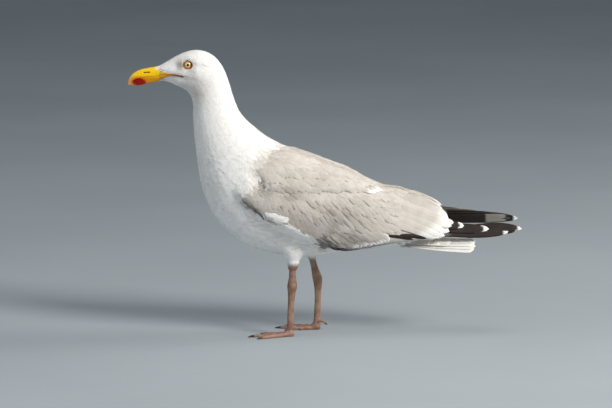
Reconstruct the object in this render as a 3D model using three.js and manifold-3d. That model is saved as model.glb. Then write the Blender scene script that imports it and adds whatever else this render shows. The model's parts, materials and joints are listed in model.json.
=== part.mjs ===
// An adult herring gull at life size, standing at ease with its wings folded.
//
// Millimetres, +Z up. The bill points along -X, the bird's left side faces -Y, and the
// origin is on the ground below the middle of the bird. Each named part of the body is a
// separate closed solid, and neighbours are parted by a thin gap.

import * as THREE from 'three';
import { mergeVertices } from 'three/addons/utils/BufferGeometryUtils.js';
import Module from 'manifold-3d';

const wasm = await Module();
wasm.setup();

// ---------------------------------------------------------------- driving sizes

const GAP = 0.3; // between neighbouring solids
const HALF_GAP = GAP / 2;
const LEFT = -1; // sign of Y on each side of the bird
const RIGHT = 1;

const BODY_SIDES = 28; // points round a section of the head, neck and trunk
const WING_SIDES = 20;
const BLADE_SIDES = 10;
const BILL_SIDES = 14;
const LEG_SIDES = 12;
const TOE_SIDES = 8;
const CLAW_SIDES = 6;
const EYE_SIDES = 14;
const EYE_RINGS = 8;

const EYE_RADIUS = 6.8;
const EYE_CENTRE = new THREE.Vector3(-190.2, 11.6, 380.4); // Y is the distance from the midline
const EYE_OPENING = { inner: 4.6, outer: 6.4, reach: 12 }; // between the lids

const FOOT_SPREAD = 29; // each foot's heel from the midline
const SOLE = 0; // height of the ground
const TOE_SPLAY = THREE.MathUtils.degToRad(21); // between neighbouring front toes
const WEB_THICKNESS = 1.8;

// Half-lengths of the trunk parts are set by stations, numbered from the bill's base (0)
// back to the root of the tail. These are the places where one part ends.
const NAPE_STATION = 6.3;
const SHOULDER_STATION = 10.4;

// The body between its upper and lower outlines, seen from the side. Each station joins a
// point of the upper outline to one of the lower, and gives the half-width there, the
// height of the widest place as a share of the section, and how square the section is.
const BODY_STATIONS = [
  { top: [-229.8, 377.6], bottom: [-224.9, 357.1], half: 8.6, widest: 0.45, square: 0.1 },
  { top: [-218.6, 384.1], bottom: [-215.8, 354.9], half: 12.4, widest: 0.43, square: 0.06 },
  { top: [-206.7, 391.2], bottom: [-205.3, 350.0], half: 16.6, widest: 0.44, square: 0.04 },
  { top: [-193.4, 397.0], bottom: [-195.5, 345.5], half: 20.2, widest: 0.47, square: 0.04 },
  { top: [-178.7, 399.6], bottom: [-188.5, 339.4], half: 22.8, widest: 0.5, square: 0.02 },
  { top: [-164.0, 396.6], bottom: [-185.0, 332.1], half: 24.2, widest: 0.5, square: 0 },
  { top: [-151.4, 388.2], bottom: [-183.6, 323.6], half: 25.0, widest: 0.5, square: 0 },
  { top: [-141.9, 374.5], bottom: [-183.2, 313.7], half: 25.6, widest: 0.5, square: 0 },
  { top: [-134.6, 356.1], bottom: [-183.0, 302.4], half: 26.4, widest: 0.5, square: 0 },
  { top: [-128.3, 334.9], bottom: [-182.2, 288.3], half: 28.4, widest: 0.5, square: 0 },
  { top: [-119.9, 313.7], bottom: [-180.5, 269.9], half: 32.6, widest: 0.5, square: 0 },
  { top: [-105.2, 296.7], bottom: [-177.3, 244.4], half: 41.0, widest: 0.5, square: 0 },
  { top: [-84.9, 279.8], bottom: [-171.7, 210.5], half: 50.5, widest: 0.5, square: 0.02 },
  { top: [-60.4, 266.2], bottom: [-159.1, 175.9], half: 56.5, widest: 0.5, square: 0.04 },
  { top: [-28.2, 256.5], bottom: [-134.6, 145.5], half: 58.0, widest: 0.5, square: 0.05 },
  { top: [5.4, 244.4], bottom: [-101.0, 122.9], half: 56.0, widest: 0.5, square: 0.04 },
  { top: [34.8, 232.7], bottom: [-60.4, 112.4], half: 52.0, widest: 0.5, square: 0.03 },
  { top: [58.6, 221.8], bottom: [-18.4, 109.4], half: 46.0, widest: 0.48, square: 0.02 },
  { top: [74.0, 207.0], bottom: [19.4, 116.5], half: 39.0, widest: 0.46, square: 0 },
  { top: [86.6, 187.0], bottom: [50.2, 119.7], half: 33.0, widest: 0.46, square: 0 },
  { top: [106.0, 160.0], bottom: [83.8, 122.4], half: 29.0, widest: 0.46, square: 0 },
  { top: [131.0, 141.5], bottom: [117.4, 121.6], half: 27.5, widest: 0.46, square: 0 },
];

// The folded wing as a leaf laid on the trunk, from the bend at the front to the tips of
// the tertials. Upper and lower edge are [x, distance from the midline, z], and the leaf
// bulges outwards by `out` and reaches into the trunk, which trims it, by `into`.
const WING_STATIONS = [
  { top: [-128.5, 46, 214], bottom: [-127.0, 51, 204], out: 5, into: 4 },
  { top: [-117.4, 43, 229], bottom: [-114.0, 58, 197.5], out: 9.5, into: 10 },
  { top: [-97.4, 32, 251], bottom: [-94.0, 60, 179.5], out: 15, into: 14 },
  { top: [-67.4, 24, 261], bottom: [-67.4, 59, 162.5], out: 19, into: 16 },
  { top: [-33.8, 20, 256], bottom: [-28.2, 55, 143.0], out: 20.5, into: 16 },
  { top: [1.2, 18, 244.5], bottom: [8.2, 50, 127], out: 20.5, into: 16 },
  { top: [36.2, 16, 231.5], bottom: [36.2, 47, 124.5], out: 19, into: 16 },
  { top: [70.8, 12, 212.6], bottom: [71.2, 44, 130.3], out: 17, into: 14 },
  { top: [100.4, 7, 208.8], bottom: [106.2, 40, 135.8], out: 14, into: 8 },
  { top: [132.8, 6, 197.2], bottom: [134.2, 35, 137.4], out: 11, into: 6 },
  { top: [155.2, 8, 185.0], bottom: [156.6, 31, 139.2], out: 8, into: 4 },
  { top: [169.6, 13, 170.5], bottom: [167.8, 27, 147.5], out: 4.5, into: 2.5 },
];

// The blade of stacked primaries that leaves the tertials, one list for each side because
// the right wing is carried a little higher than the left.
const PRIMARY_STATIONS = {
  left: [
    { top: [96.0, 12, 168.0], bottom: [94.0, 33, 138.0], thick: 6 },
    { top: [130.0, 13, 168.0], bottom: [128.0, 33.5, 136.6], thick: 5.6 },
    { top: [162.2, 13, 166.6], bottom: [160.0, 33, 136.0], thick: 5 },
    { top: [204.2, 13, 162.0], bottom: [206.0, 28, 138.4], thick: 3.8 },
    { top: [246.2, 14, 157.6], bottom: [246.0, 22, 142.3], thick: 2.6 },
    { top: [267.2, 15, 153.4], bottom: [266.0, 19, 145.0], thick: 1.8 },
    { top: [275.4, 16, 149.6], bottom: [275.0, 17, 147.2], thick: 1.2 },
  ],
  right: [
    { top: [96.0, 9, 180.0], bottom: [94.0, 31, 147.0], thick: 6 },
    { top: [130.0, 9, 182.0], bottom: [128.0, 31, 148.0], thick: 5.6 },
    { top: [160.0, 9, 180.6], bottom: [158.0, 29, 150.0], thick: 5 },
    { top: [191.6, 9, 174.5], bottom: [190.0, 24, 151.5], thick: 3.8 },
    { top: [226.8, 10, 170.4], bottom: [227.0, 19, 153.6], thick: 2.8 },
    { top: [255.2, 12, 167.0], bottom: [255.0, 16, 156.5], thick: 1.9 },
    { top: [271.0, 13, 161.8], bottom: [270.6, 14, 159.4], thick: 1.2 },
  ],
};

// The closed tail: length along X, with the half-width, mid height, droop of its outer
// feathers and thickness at each station.
const TAIL_STATIONS = [
  { x: 112.0, half: 23, height: 131.4, droop: 8, thick: 18.5 },
  { x: 130.0, half: 26, height: 131.0, droop: 7, thick: 14 },
  { x: 150.0, half: 32, height: 130.4, droop: 7.6, thick: 8 },
  { x: 175.0, half: 38, height: 131.4, droop: 9.4, thick: 5 },
  { x: 198.0, half: 43, height: 132.4, droop: 11, thick: 3.4 },
  { x: 207.5, half: 42, height: 132.8, droop: 11.4, thick: 2.6 },
  { x: 212.0, half: 34, height: 132.6, droop: 9, thick: 2.0 },
];
const TAIL_ARC_POINTS = 9; // across the tail

// Bill: the culmen above the cutting edges, and the lower mandible, which reaches up into
// the upper one and is trimmed by it.
const UPPER_BILL_STATIONS = [
  { top: [-274.2, 353.6], bottom: [-273.2, 350.7], half: 1.1 },
  { top: [-273.0, 359.2], bottom: [-270.6, 353.2], half: 2.0 },
  { top: [-269.2, 365.0], bottom: [-267.4, 356.2], half: 2.9 },
  { top: [-263.4, 369.3], bottom: [-262.2, 358.7], half: 3.9 },
  { top: [-256.6, 372.3], bottom: [-255.6, 360.7], half: 4.6 },
  { top: [-248.2, 374.3], bottom: [-247.2, 362.3], half: 5.3 },
  { top: [-239.0, 375.9], bottom: [-237.5, 363.3], half: 6.1 },
  { top: [-230.3, 377.5], bottom: [-227.3, 364.4], half: 7.4 },
];
const LOWER_BILL_STATIONS = [
  { top: [-270.4, 354.3], bottom: [-269.4, 350.9], half: 1.2 },
  { top: [-265.8, 357.8], bottom: [-264.6, 350.2], half: 2.3 },
  { top: [-259.4, 360.6], bottom: [-258.2, 349.9], half: 3.3 },
  { top: [-252.5, 362.4], bottom: [-251.2, 351.8], half: 4.1 },
  { top: [-244.0, 363.5], bottom: [-243.0, 354.1], half: 5.0 },
  { top: [-235.5, 364.2], bottom: [-234.2, 355.4], half: 6.0 },
  { top: [-227.2, 364.9], bottom: [-225.4, 356.7], half: 7.3 },
];

// Legs: the feathered thigh, then the bare shank down to the foot. Each point is
// [x, distance from the midline, z] with the radii along X and Y.
const LEGS = {
  left: {
    thigh: [
      { at: [-43, 31, 126], rx: 20, ry: 15 },
      { at: [-43.5, 30.5, 112], rx: 12.5, ry: 11 },
      { at: [-44, 30, 103], rx: 8.2, ry: 7.8 },
      { at: [-44.6, 29.8, 95], rx: 6.2, ry: 5.8 },
    ],
    shank: [
      { at: [-44.6, 29.8, 94.6], rx: 4.9, ry: 4.0 },
      { at: [-45.0, 29.6, 84], rx: 4.8, ry: 4.0 },
      { at: [-45.2, 29.4, 76.5], rx: 6.2, ry: 5.2 },
      { at: [-45.3, 29.3, 70.5], rx: 6.9, ry: 5.6 },
      { at: [-45.8, 29.2, 63], rx: 5.7, ry: 4.4 },
      { at: [-46.6, 29.0, 52], rx: 4.6, ry: 3.2 },
      { at: [-47.4, 29.0, 34], rx: 4.4, ry: 3.0 },
      { at: [-48.0, 29.0, 17], rx: 4.8, ry: 4.0 },
      { at: [-48.6, 29.0, 8.6], rx: 5.6, ry: 5.6 },
    ],
    heel: [-48.5, FOOT_SPREAD],
    turn: THREE.MathUtils.degToRad(9),
  },
  right: {
    thigh: [
      { at: [-24, 31, 126], rx: 20, ry: 15 },
      { at: [-21.5, 30.5, 113], rx: 11.5, ry: 11 },
      { at: [-19.0, 30, 106], rx: 7.2, ry: 7.0 },
      { at: [-17.4, 29.8, 101], rx: 5.8, ry: 5.6 },
    ],
    shank: [
      { at: [-17.2, 29.8, 100.6], rx: 4.8, ry: 4.0 },
      { at: [-14.4, 29.6, 90], rx: 4.8, ry: 4.0 },
      { at: [-11.4, 29.4, 79.5], rx: 6.2, ry: 5.2 },
      { at: [-9.9, 29.3, 73], rx: 6.9, ry: 5.6 },
      { at: [-9.3, 29.2, 65], rx: 5.7, ry: 4.4 },
      { at: [-9.2, 29.0, 53], rx: 4.6, ry: 3.2 },
      { at: [-9.6, 29.0, 34], rx: 4.4, ry: 3.0 },
      { at: [-10.6, 29.0, 17], rx: 4.8, ry: 4.0 },
      { at: [-11.4, 29.0, 8.6], rx: 5.6, ry: 5.6 },
    ],
    heel: [-11.3, FOOT_SPREAD],
    turn: THREE.MathUtils.degToRad(9),
  },
};

// Toes by name: reach to the root of the claw, place in the fan of front toes (-1 is the
// inner one), and claw length.
const FRONT_TOES = [
  { name: 'inner', reach: 39, fan: -1, claw: 6.5 },
  { name: 'middle', reach: 51, fan: 0, claw: 8 },
  { name: 'outer', reach: 46, fan: 1, claw: 6.5 },
];
const TOE_RADIUS = { root: 4.3, joint: 3.1, tip: 2.5 };
const HIND_TOE = { drop: 15.5, back: 5.2, reach: 8, radius: 2.1, claw: 4 };

// ---------------------------------------------------------------- materials

const finish = (name, color, roughness) =>
  new THREE.MeshStandardMaterial({ name, color, roughness, metalness: 0 });

const WHITE_PLUMAGE = finish('white plumage', 0xf4f2ee, 0.85);
const GREY_PLUMAGE = finish('grey plumage', 0xb9b3ab, 0.8);
const BLACK_FEATHERS = finish('black feathers', 0x1d1a17, 0.6);
const TAIL_FEATHERS = finish('tail feathers', 0xf0ede6, 0.75);
const YELLOW_HORN = finish('yellow horn', 0xe8b21a, 0.35);
const DARK_HORN = finish('dark horn', 0x2a2421, 0.4);
const EYE = finish('eye', 0xe6cf8e, 0.1);
const LEG_SKIN = finish('leg skin', 0xc08f82, 0.6);

// ---------------------------------------------------------------- making shapes

// Catmull-Rom through a list of numbers, with t counted in list places.
function smooth(values, t) {
  const last = values.length - 1;
  const i = Math.min(Math.floor(t), last - 1);
  const f = t - i;
  const at = (j) => values[THREE.MathUtils.clamp(j, 0, last)];
  const slopeIn = (at(i + 1) - at(i - 1)) / 2;
  const slopeOut = (at(i + 2) - at(i)) / 2;
  const rise = at(i + 1) - at(i);
  return at(i) + f * (slopeIn + f * (3 * rise - 2 * slopeIn - slopeOut
    + f * (slopeIn + slopeOut - 2 * rise)));
}

// A station's numbers between the ones listed: every number and list of numbers is smoothed.
function stationAt(stations, t) {
  const made = {};
  for (const [key, value] of Object.entries(stations[0])) {
    made[key] = Array.isArray(value)
      ? value.map((_, n) => smooth(stations.map((s) => s[key][n]), t))
      : smooth(stations.map((s) => s[key]), t);
  }
  return made;
}

// A list of steps + 1 stations spread evenly between places `from` and `to`.
function stretch(stations, from, to, steps) {
  return Array.from({ length: steps + 1 }, (_, i) =>
    stationAt(stations, from + ((to - from) * i) / steps));
}

// A closed oval ring round the line from `bottom` to `top`. `out` and `into` are its
// half-widths to either hand, `widest` the height of the widest place, and `square` fills
// its corners. `grow` widens it on every side.
function oval(bottom, top, side, { out, into, widest = 0.5, square = 0, sides, grow = 0 }) {
  const axis = top.clone().sub(bottom);
  const height = axis.length() + 2 * grow;
  axis.normalize();
  const foot = bottom.clone().addScaledVector(axis, -grow);
  const power = 1 - square;
  return Array.from({ length: sides }, (_, i) => {
    const angle = (2 * Math.PI * i) / sides;
    const rise = Math.abs(Math.cos(angle)) ** power;
    const reach = Math.abs(Math.sin(angle)) ** power;
    const share = Math.cos(angle) >= 0 ? widest + (1 - widest) * rise : widest * (1 - rise);
    const half = Math.sin(angle) >= 0 ? out + grow : -(into + grow);
    return foot.clone()
      .addScaledVector(axis, share * height)
      .addScaledVector(side, half * reach);
  });
}

// A closed surface through a list of rings of equal count, with a flat fan at each end.
function loft(rings) {
  const count = rings[0].length;
  const points = rings.flat();
  const faces = [];
  rings.slice(1).forEach((_, r) => {
    for (let i = 0; i < count; i++) {
      const a = r * count + i;
      const b = r * count + ((i + 1) % count);
      faces.push(a, b, b + count, a, b + count, a + count);
    }
  });
  for (const ring of [0, rings.length - 1]) {
    const hub = points.length;
    points.push(rings[ring].reduce((sum, p) => sum.add(p), new THREE.Vector3())
      .divideScalar(count));
    for (let i = 0; i < count; i++) {
      const a = ring * count + i;
      const b = ring * count + ((i + 1) % count);
      faces.push(...(ring === 0 ? [b, a, hub] : [a, b, hub]));
    }
  }
  return solid(new THREE.BufferGeometry().setFromPoints(points).setIndex(faces));
}

// A three.js geometry as a manifold solid, turned right side out if need be.
function solid(geometry) {
  const bare = geometry.index ? geometry.toNonIndexed() : geometry.clone();
  for (const name of Object.keys(bare.attributes)) {
    if (name !== 'position') bare.deleteAttribute(name);
  }
  const merged = mergeVertices(bare, 1e-4);
  const corners = Uint32Array.from(merged.index.array);
  const build = () => new wasm.Manifold(new wasm.Mesh({
    numProp: 3,
    vertProperties: merged.attributes.position.array,
    triVerts: corners,
  }));
  const made = build();
  if (made.volume() > 0) return made;
  for (let i = 0; i < corners.length; i += 3) {
    [corners[i + 1], corners[i + 2]] = [corners[i + 2], corners[i + 1]];
  }
  return build();
}

// A manifold solid back as a three.js geometry.
function geometryOf(shape) {
  const mesh = shape.getMesh();
  const places = new Float32Array(mesh.numVert * 3);
  for (let i = 0; i < mesh.numVert; i++) {
    places.set(mesh.vertProperties.subarray(i * mesh.numProp, i * mesh.numProp + 3), i * 3);
  }
  const geometry = new THREE.BufferGeometry();
  geometry.setAttribute('position', new THREE.BufferAttribute(places, 3));
  geometry.setIndex(new THREE.BufferAttribute(Uint32Array.from(mesh.triVerts), 1));
  geometry.computeVertexNormals();
  return geometry;
}

// The largest separate body of a solid, so that a cut leaves no crumbs.
const largest = (shape) =>
  shape.decompose().reduce((a, b) => (a.volume() > b.volume() ? a : b));

// A block that fills space between two corners.
function block(low, high) {
  const size = high.clone().sub(low);
  const box = new THREE.BoxGeometry(size.x, size.y, size.z);
  box.translate(...low.clone().add(high).multiplyScalar(0.5).toArray());
  return solid(box);
}

const FAR = 1000;
const below = (height) =>
  block(new THREE.Vector3(-FAR, -FAR, -FAR), new THREE.Vector3(FAR, FAR, height));

// Everything across the midline from one side of the bird.
const otherHalf = (hand) => (hand === LEFT
  ? block(new THREE.Vector3(-FAR, -HALF_GAP, -FAR), new THREE.Vector3(FAR, FAR, FAR))
  : block(new THREE.Vector3(-FAR, -FAR, -FAR), new THREE.Vector3(FAR, HALF_GAP, FAR)));

// A point given by its distance from the midline, on one side of the bird.
const onSide = (hand, [x, y, z]) => new THREE.Vector3(x, hand * y, z);

const onMidline = ([x, z]) => new THREE.Vector3(x, 0, z);

// ---------------------------------------------------------------- head, neck and trunk

const ACROSS = new THREE.Vector3(0, 1, 0);

// The body from one station to another.
function bodyBetween(from, to, steps, grow = 0) {
  return loft(stretch(BODY_STATIONS, from, to, steps).map((s) => oval(
    onMidline(s.bottom),
    onMidline(s.top),
    ACROSS,
    { out: s.half, into: s.half, widest: s.widest, square: s.square, sides: BODY_SIDES, grow },
  )));
}

// The room for one eye: its ball, and a flared way out between the lids.
function eyeSocket(hand) {
  const centre = onSide(hand, EYE_CENTRE.toArray());
  const ball = new THREE.SphereGeometry(EYE_RADIUS + GAP, EYE_SIDES, EYE_RINGS);
  ball.translate(...centre.toArray());
  const way = new THREE.CylinderGeometry(
    EYE_OPENING.outer, EYE_OPENING.inner, EYE_OPENING.reach, EYE_SIDES);
  way.translate(0, EYE_OPENING.reach / 2, 0);
  if (hand === LEFT) way.rotateX(Math.PI);
  way.translate(...centre.toArray());
  return solid(ball).add(solid(way));
}

function eyeBall(hand) {
  const ball = new THREE.SphereGeometry(EYE_RADIUS, EYE_SIDES, EYE_RINGS);
  ball.rotateX(Math.PI / 2);
  ball.translate(...onSide(hand, EYE_CENTRE.toArray()).toArray());
  return solid(ball);
}

const lastStation = BODY_STATIONS.length - 1;
const stationGap = 0.02; // in stations, which leaves the gap where sections lie closest
const head = [LEFT, RIGHT].reduce(
  (shape, hand) => shape.subtract(eyeSocket(hand)),
  bodyBetween(0, NAPE_STATION - stationGap, 12),
);
const neck = bodyBetween(NAPE_STATION + stationGap, SHOULDER_STATION - stationGap, 8);
const trunk = bodyBetween(SHOULDER_STATION + stationGap, lastStation, 16);
const trunkGrown = bodyBetween(SHOULDER_STATION + stationGap, lastStation, 16, GAP);

// ---------------------------------------------------------------- bill

function mandible(stations, widest, grow = 0) {
  return loft(stretch(stations, 0, stations.length - 1, 12).map((s) => oval(
    onMidline(s.bottom),
    onMidline(s.top),
    ACROSS,
    { out: s.half, into: s.half, widest, square: 0.12, sides: BILL_SIDES, grow },
  )));
}

const UPPER_WIDEST = 0.14;
const LOWER_WIDEST = 0.85;
const headFront = bodyBetween(0, 1.5, 4, GAP);
const upperBillGrown = mandible(UPPER_BILL_STATIONS, UPPER_WIDEST, GAP);
const upperBill = largest(mandible(UPPER_BILL_STATIONS, UPPER_WIDEST).subtract(headFront));
const lowerBill = largest(mandible(LOWER_BILL_STATIONS, LOWER_WIDEST)
  .subtract(upperBillGrown)
  .subtract(headFront));

// ---------------------------------------------------------------- wings and tail

// The way a wing's section faces: square to the line between its edges, and outwards.
function outward(hand, top, bottom) {
  const edge = top.clone().sub(bottom);
  const facing = new THREE.Vector3(0, edge.z, -edge.y).normalize();
  return facing.multiplyScalar(Math.sign(facing.y) * hand);
}

function wingWhole(hand, grow = 0) {
  return loft(stretch(WING_STATIONS, 0, WING_STATIONS.length - 1, 15).map((s) => {
    const top = onSide(hand, s.top);
    const bottom = onSide(hand, s.bottom);
    return oval(bottom, top, outward(hand, top, bottom),
      { out: s.out, into: s.into, square: 0.16, sides: WING_SIDES, grow });
  }));
}

function primaryBlade(hand, grow = 0) {
  const stations = hand === LEFT ? PRIMARY_STATIONS.left : PRIMARY_STATIONS.right;
  return loft(stretch(stations, 0, stations.length - 1, 9).map((s) => {
    const top = onSide(hand, s.top);
    const bottom = onSide(hand, s.bottom);
    return oval(bottom, top, outward(hand, top, bottom),
      { out: s.thick * 0.7, into: s.thick * 0.3, square: 0.2, sides: BLADE_SIDES, grow });
  }));
}

// A section of the closed tail: an arch of feathers, thick in the middle and thin at the
// sides.
function tailRing({ x, half, height, droop, thick }) {
  const across = Array.from({ length: TAIL_ARC_POINTS }, (_, i) =>
    (2 * i) / (TAIL_ARC_POINTS - 1) - 1);
  const arch = (u, lift) => new THREE.Vector3(x, u * half, height - droop * u * u + lift);
  const edge = 0.35; // share of the thickness left at the side feathers
  const half_thick = (u) => (thick / 2) * (edge + (1 - edge) * Math.sqrt(1 - u * u));
  return [
    ...across.map((u) => arch(u, half_thick(u))),
    ...across.reverse().map((u) => arch(u, -half_thick(u))),
  ];
}

const wings = new Map([LEFT, RIGHT].map((hand) => [
  hand, largest(wingWhole(hand).subtract(trunkGrown).subtract(otherHalf(hand)))]));
const blades = new Map([LEFT, RIGHT].map((hand) => [
  hand, largest(primaryBlade(hand)
    .subtract(wingWhole(hand, GAP))
    .subtract(trunkGrown)
    .subtract(otherHalf(hand)))]));
const tailWhole = loft(stretch(TAIL_STATIONS, 0, TAIL_STATIONS.length - 1, 8).map(tailRing));
const tail = largest([LEFT, RIGHT].reduce(
  (shape, hand) => shape.subtract(wingWhole(hand, GAP)).subtract(primaryBlade(hand, GAP)),
  tailWhole.subtract(trunkGrown),
));

// ---------------------------------------------------------------- legs and feet

// An upright limb through level ovals.
function limb(hand, stations, steps, grow = 0) {
  return loft(stretch(stations, 0, stations.length - 1, steps).map((s) => {
    const centre = onSide(hand, s.at);
    return Array.from({ length: LEG_SIDES }, (_, i) => {
      const angle = (2 * Math.PI * i) / LEG_SIDES;
      return centre.clone().add(new THREE.Vector3(
        (s.rx + grow) * Math.cos(angle), (s.ry + grow) * Math.sin(angle), 0));
    });
  }));
}

// A tapering toe or claw through points of [place, radius], round across its length.
function taper(points, sides = TOE_SIDES) {
  return loft(points.map(([place, radius], i) => {
    const before = points[Math.max(i - 1, 0)][0];
    const after = points[Math.min(i + 1, points.length - 1)][0];
    const along = after.clone().sub(before).normalize();
    const level = new THREE.Vector3().crossVectors(along, new THREE.Vector3(0, 0, 1)).normalize();
    const up = new THREE.Vector3().crossVectors(level, along);
    return Array.from({ length: sides }, (_, j) => {
      const angle = (2 * Math.PI * j) / sides;
      return place.clone()
        .addScaledVector(level, radius * Math.cos(angle))
        .addScaledVector(up, radius * Math.sin(angle));
    });
  }));
}

// The level direction of a front toe. A foot is turned outwards by `turn`.
function toeWay(hand, turn, fan) {
  const angle = turn + fan * TOE_SPLAY;
  return new THREE.Vector3(-Math.cos(angle), hand * Math.sin(angle), 0);
}

// A point along a toe, measured from the heel at the given height.
function toePoint(leg, hand, toe, distance, height) {
  return new THREE.Vector3(leg.heel[0], hand * leg.heel[1], height)
    .addScaledVector(toeWay(hand, leg.turn, toe.fan), distance);
}

function toeShape(leg, hand, toe) {
  const { root, joint, tip } = TOE_RADIUS;
  const beads = [ // share of the reach, radius: the pads swell at the joints
    [0, root], [0.22, joint * 1.02], [0.34, joint * 1.14], [0.48, joint * 0.94],
    [0.6, joint * 1.02], [0.76, tip * 0.98], [0.88, tip * 1.08], [1, tip * 0.8],
  ];
  return taper(beads.map(([share, radius]) =>
    [toePoint(leg, hand, toe, share * toe.reach, radius * 0.82), radius]));
}

// The web: a fan with its edge drawn in between the toe tips.
function webShape(leg, hand) {
  const outline = [new THREE.Vector2(leg.heel[0] + 2, hand * leg.heel[1])];
  const scallop = 0.84; // reach of the web's edge between two toes
  FRONT_TOES.forEach((toe, i) => {
    const end = toePoint(leg, hand, toe, toe.reach * 0.96, 0);
    outline.push(new THREE.Vector2(end.x, end.y));
    const next = FRONT_TOES[i + 1];
    if (!next) return;
    for (const share of [0.25, 0.5, 0.75]) {
      const between = {
        reach: THREE.MathUtils.lerp(toe.reach, next.reach, share)
          * (1 - (1 - scallop) * Math.sin(Math.PI * share)),
        fan: THREE.MathUtils.lerp(toe.fan, next.fan, share),
      };
      const at = toePoint(leg, hand, between, between.reach, 0);
      outline.push(new THREE.Vector2(at.x, at.y));
    }
  });
  const web = new THREE.ExtrudeGeometry(new THREE.Shape(outline),
    { depth: WEB_THICKNESS, bevelEnabled: false });
  return solid(web);
}

function clawShape(root, way, length, radius, dip) {
  const bend = [0, 0.35, 0.7, 1];
  return taper(bend.map((share) => [
    root.clone().addScaledVector(way, share * length)
      .add(new THREE.Vector3(0, 0, -dip * share * share)),
    radius * (1 - 0.8 * share),
  ]), CLAW_SIDES);
}

// One leg's parts by name: thigh, shank, foot and claws.
function legParts(hand) {
  const leg = hand === LEFT ? LEGS.left : LEGS.right;
  const thigh = largest(limb(hand, leg.thigh, 5).subtract(trunkGrown).subtract(wings.get(hand)));
  const hindTop = new THREE.Vector3(leg.heel[0], hand * leg.heel[1], HIND_TOE.drop);
  const hindWay = new THREE.Vector3(0.86, -hand * 0.3, -0.4).normalize();
  const hindRoot = hindTop.clone().addScaledVector(hindWay, HIND_TOE.back);
  const hindTip = hindRoot.clone().addScaledVector(hindWay, HIND_TOE.reach);
  const hindToe = taper([
    [hindTop, HIND_TOE.radius * 1.3], [hindRoot, HIND_TOE.radius * 1.2], [hindTip, HIND_TOE.radius],
  ]);
  const footWhole = FRONT_TOES.reduce(
    (shape, toe) => shape.add(toeShape(leg, hand, toe)), webShape(leg, hand));
  const heelPad = taper([
    [new THREE.Vector3(leg.heel[0] + 5.6, hand * leg.heel[1], 4.2), 3.4],
    [new THREE.Vector3(leg.heel[0] + 1, hand * leg.heel[1], 4.8), 5.6],
    [new THREE.Vector3(leg.heel[0] - 8, hand * leg.heel[1], 4.2), 4.6],
  ]);
  const foot = largest(footWhole.add(heelPad).subtract(below(SOLE)));
  const shankWhole = limb(hand, leg.shank, 14).add(hindToe);
  const shank = largest(shankWhole.subtract(grownFoot(leg, hand)));
  const parts = { thigh, shank, foot };
  for (const toe of FRONT_TOES) {
    const way = toeWay(hand, leg.turn, toe.fan);
    const root = toePoint(leg, hand, toe, toe.reach + GAP, TOE_RADIUS.tip * 0.8);
    parts[`claw_${toe.name}`] = clawShape(root, way, toe.claw, 1.5, 1.4).subtract(below(SOLE));
  }
  const hindClawRoot = hindTip.clone().addScaledVector(hindWay, GAP);
  parts.claw_hind = clawShape(hindClawRoot, hindWay, HIND_TOE.claw, 1.3, 1.0);
  return parts;
}

// The foot's heel a little enlarged, to trim the shank that stands on it.
function grownFoot(leg, hand) {
  return block(
    new THREE.Vector3(leg.heel[0] - 20, hand * leg.heel[1] - 20, -1),
    new THREE.Vector3(leg.heel[0] + 20, hand * leg.heel[1] + 20, 10.4 + GAP),
  );
}

// ---------------------------------------------------------------- assembly

const sideName = (hand) => (hand === LEFT ? 'left' : 'right');
const bird = new THREE.Group();

function add(name, shape, material) {
  const mesh = new THREE.Mesh(geometryOf(shape), material);
  mesh.name = name;
  bird.add(mesh);
}

add('head', head, WHITE_PLUMAGE);
add('neck', neck, WHITE_PLUMAGE);
add('trunk', trunk, WHITE_PLUMAGE);
add('bill_upper', upperBill, YELLOW_HORN);
add('bill_lower', lowerBill, YELLOW_HORN);
add('tail', tail, TAIL_FEATHERS);

for (const hand of [LEFT, RIGHT]) {
  const side = sideName(hand);
  add(`eye_${side}`, eyeBall(hand), EYE);
  add(`wing_${side}`, wings.get(hand), GREY_PLUMAGE);
  add(`primaries_${side}`, blades.get(hand), BLACK_FEATHERS);
  const { thigh, shank, foot, ...claws } = legParts(hand);
  add(`thigh_${side}`, thigh, WHITE_PLUMAGE);
  add(`shank_${side}`, shank, LEG_SKIN);
  add(`foot_${side}`, foot, LEG_SKIN);
  for (const [name, claw] of Object.entries(claws)) add(`${name}_${side}`, claw, DARK_HORN);
}

export default bird;
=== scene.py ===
# A standing herring gull: one skin, a coat of small vanes laid over it, and the large feathers
# of the wings and tail set one by one.
#
# Metres, in the frame's own axes: the bill points along -X, the left side faces -Y, +Z is up.
# Sizes written with MM are millimetres of the real bird.

import json
import math

import bpy
import bmesh
import numpy as np
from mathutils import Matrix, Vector
from mathutils.bvhtree import BVHTree

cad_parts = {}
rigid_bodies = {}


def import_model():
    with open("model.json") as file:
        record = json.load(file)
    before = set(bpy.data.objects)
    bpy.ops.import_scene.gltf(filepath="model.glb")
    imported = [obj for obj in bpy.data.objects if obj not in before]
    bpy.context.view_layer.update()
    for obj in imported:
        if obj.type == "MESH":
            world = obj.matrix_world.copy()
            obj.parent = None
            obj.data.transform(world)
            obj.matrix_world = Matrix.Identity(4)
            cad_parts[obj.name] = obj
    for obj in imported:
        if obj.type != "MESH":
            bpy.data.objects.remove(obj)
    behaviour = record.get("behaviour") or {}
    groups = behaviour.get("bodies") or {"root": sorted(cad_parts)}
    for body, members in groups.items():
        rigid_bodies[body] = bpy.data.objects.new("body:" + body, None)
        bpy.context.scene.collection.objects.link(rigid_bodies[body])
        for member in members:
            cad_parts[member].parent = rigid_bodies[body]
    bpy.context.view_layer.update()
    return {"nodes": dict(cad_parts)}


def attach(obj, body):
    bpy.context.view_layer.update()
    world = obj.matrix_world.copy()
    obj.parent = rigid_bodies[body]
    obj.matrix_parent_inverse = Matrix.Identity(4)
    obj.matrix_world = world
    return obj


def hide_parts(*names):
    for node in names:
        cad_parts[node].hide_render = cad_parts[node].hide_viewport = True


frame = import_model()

MM = 0.001
LEFT, RIGHT = -1, 1
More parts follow.
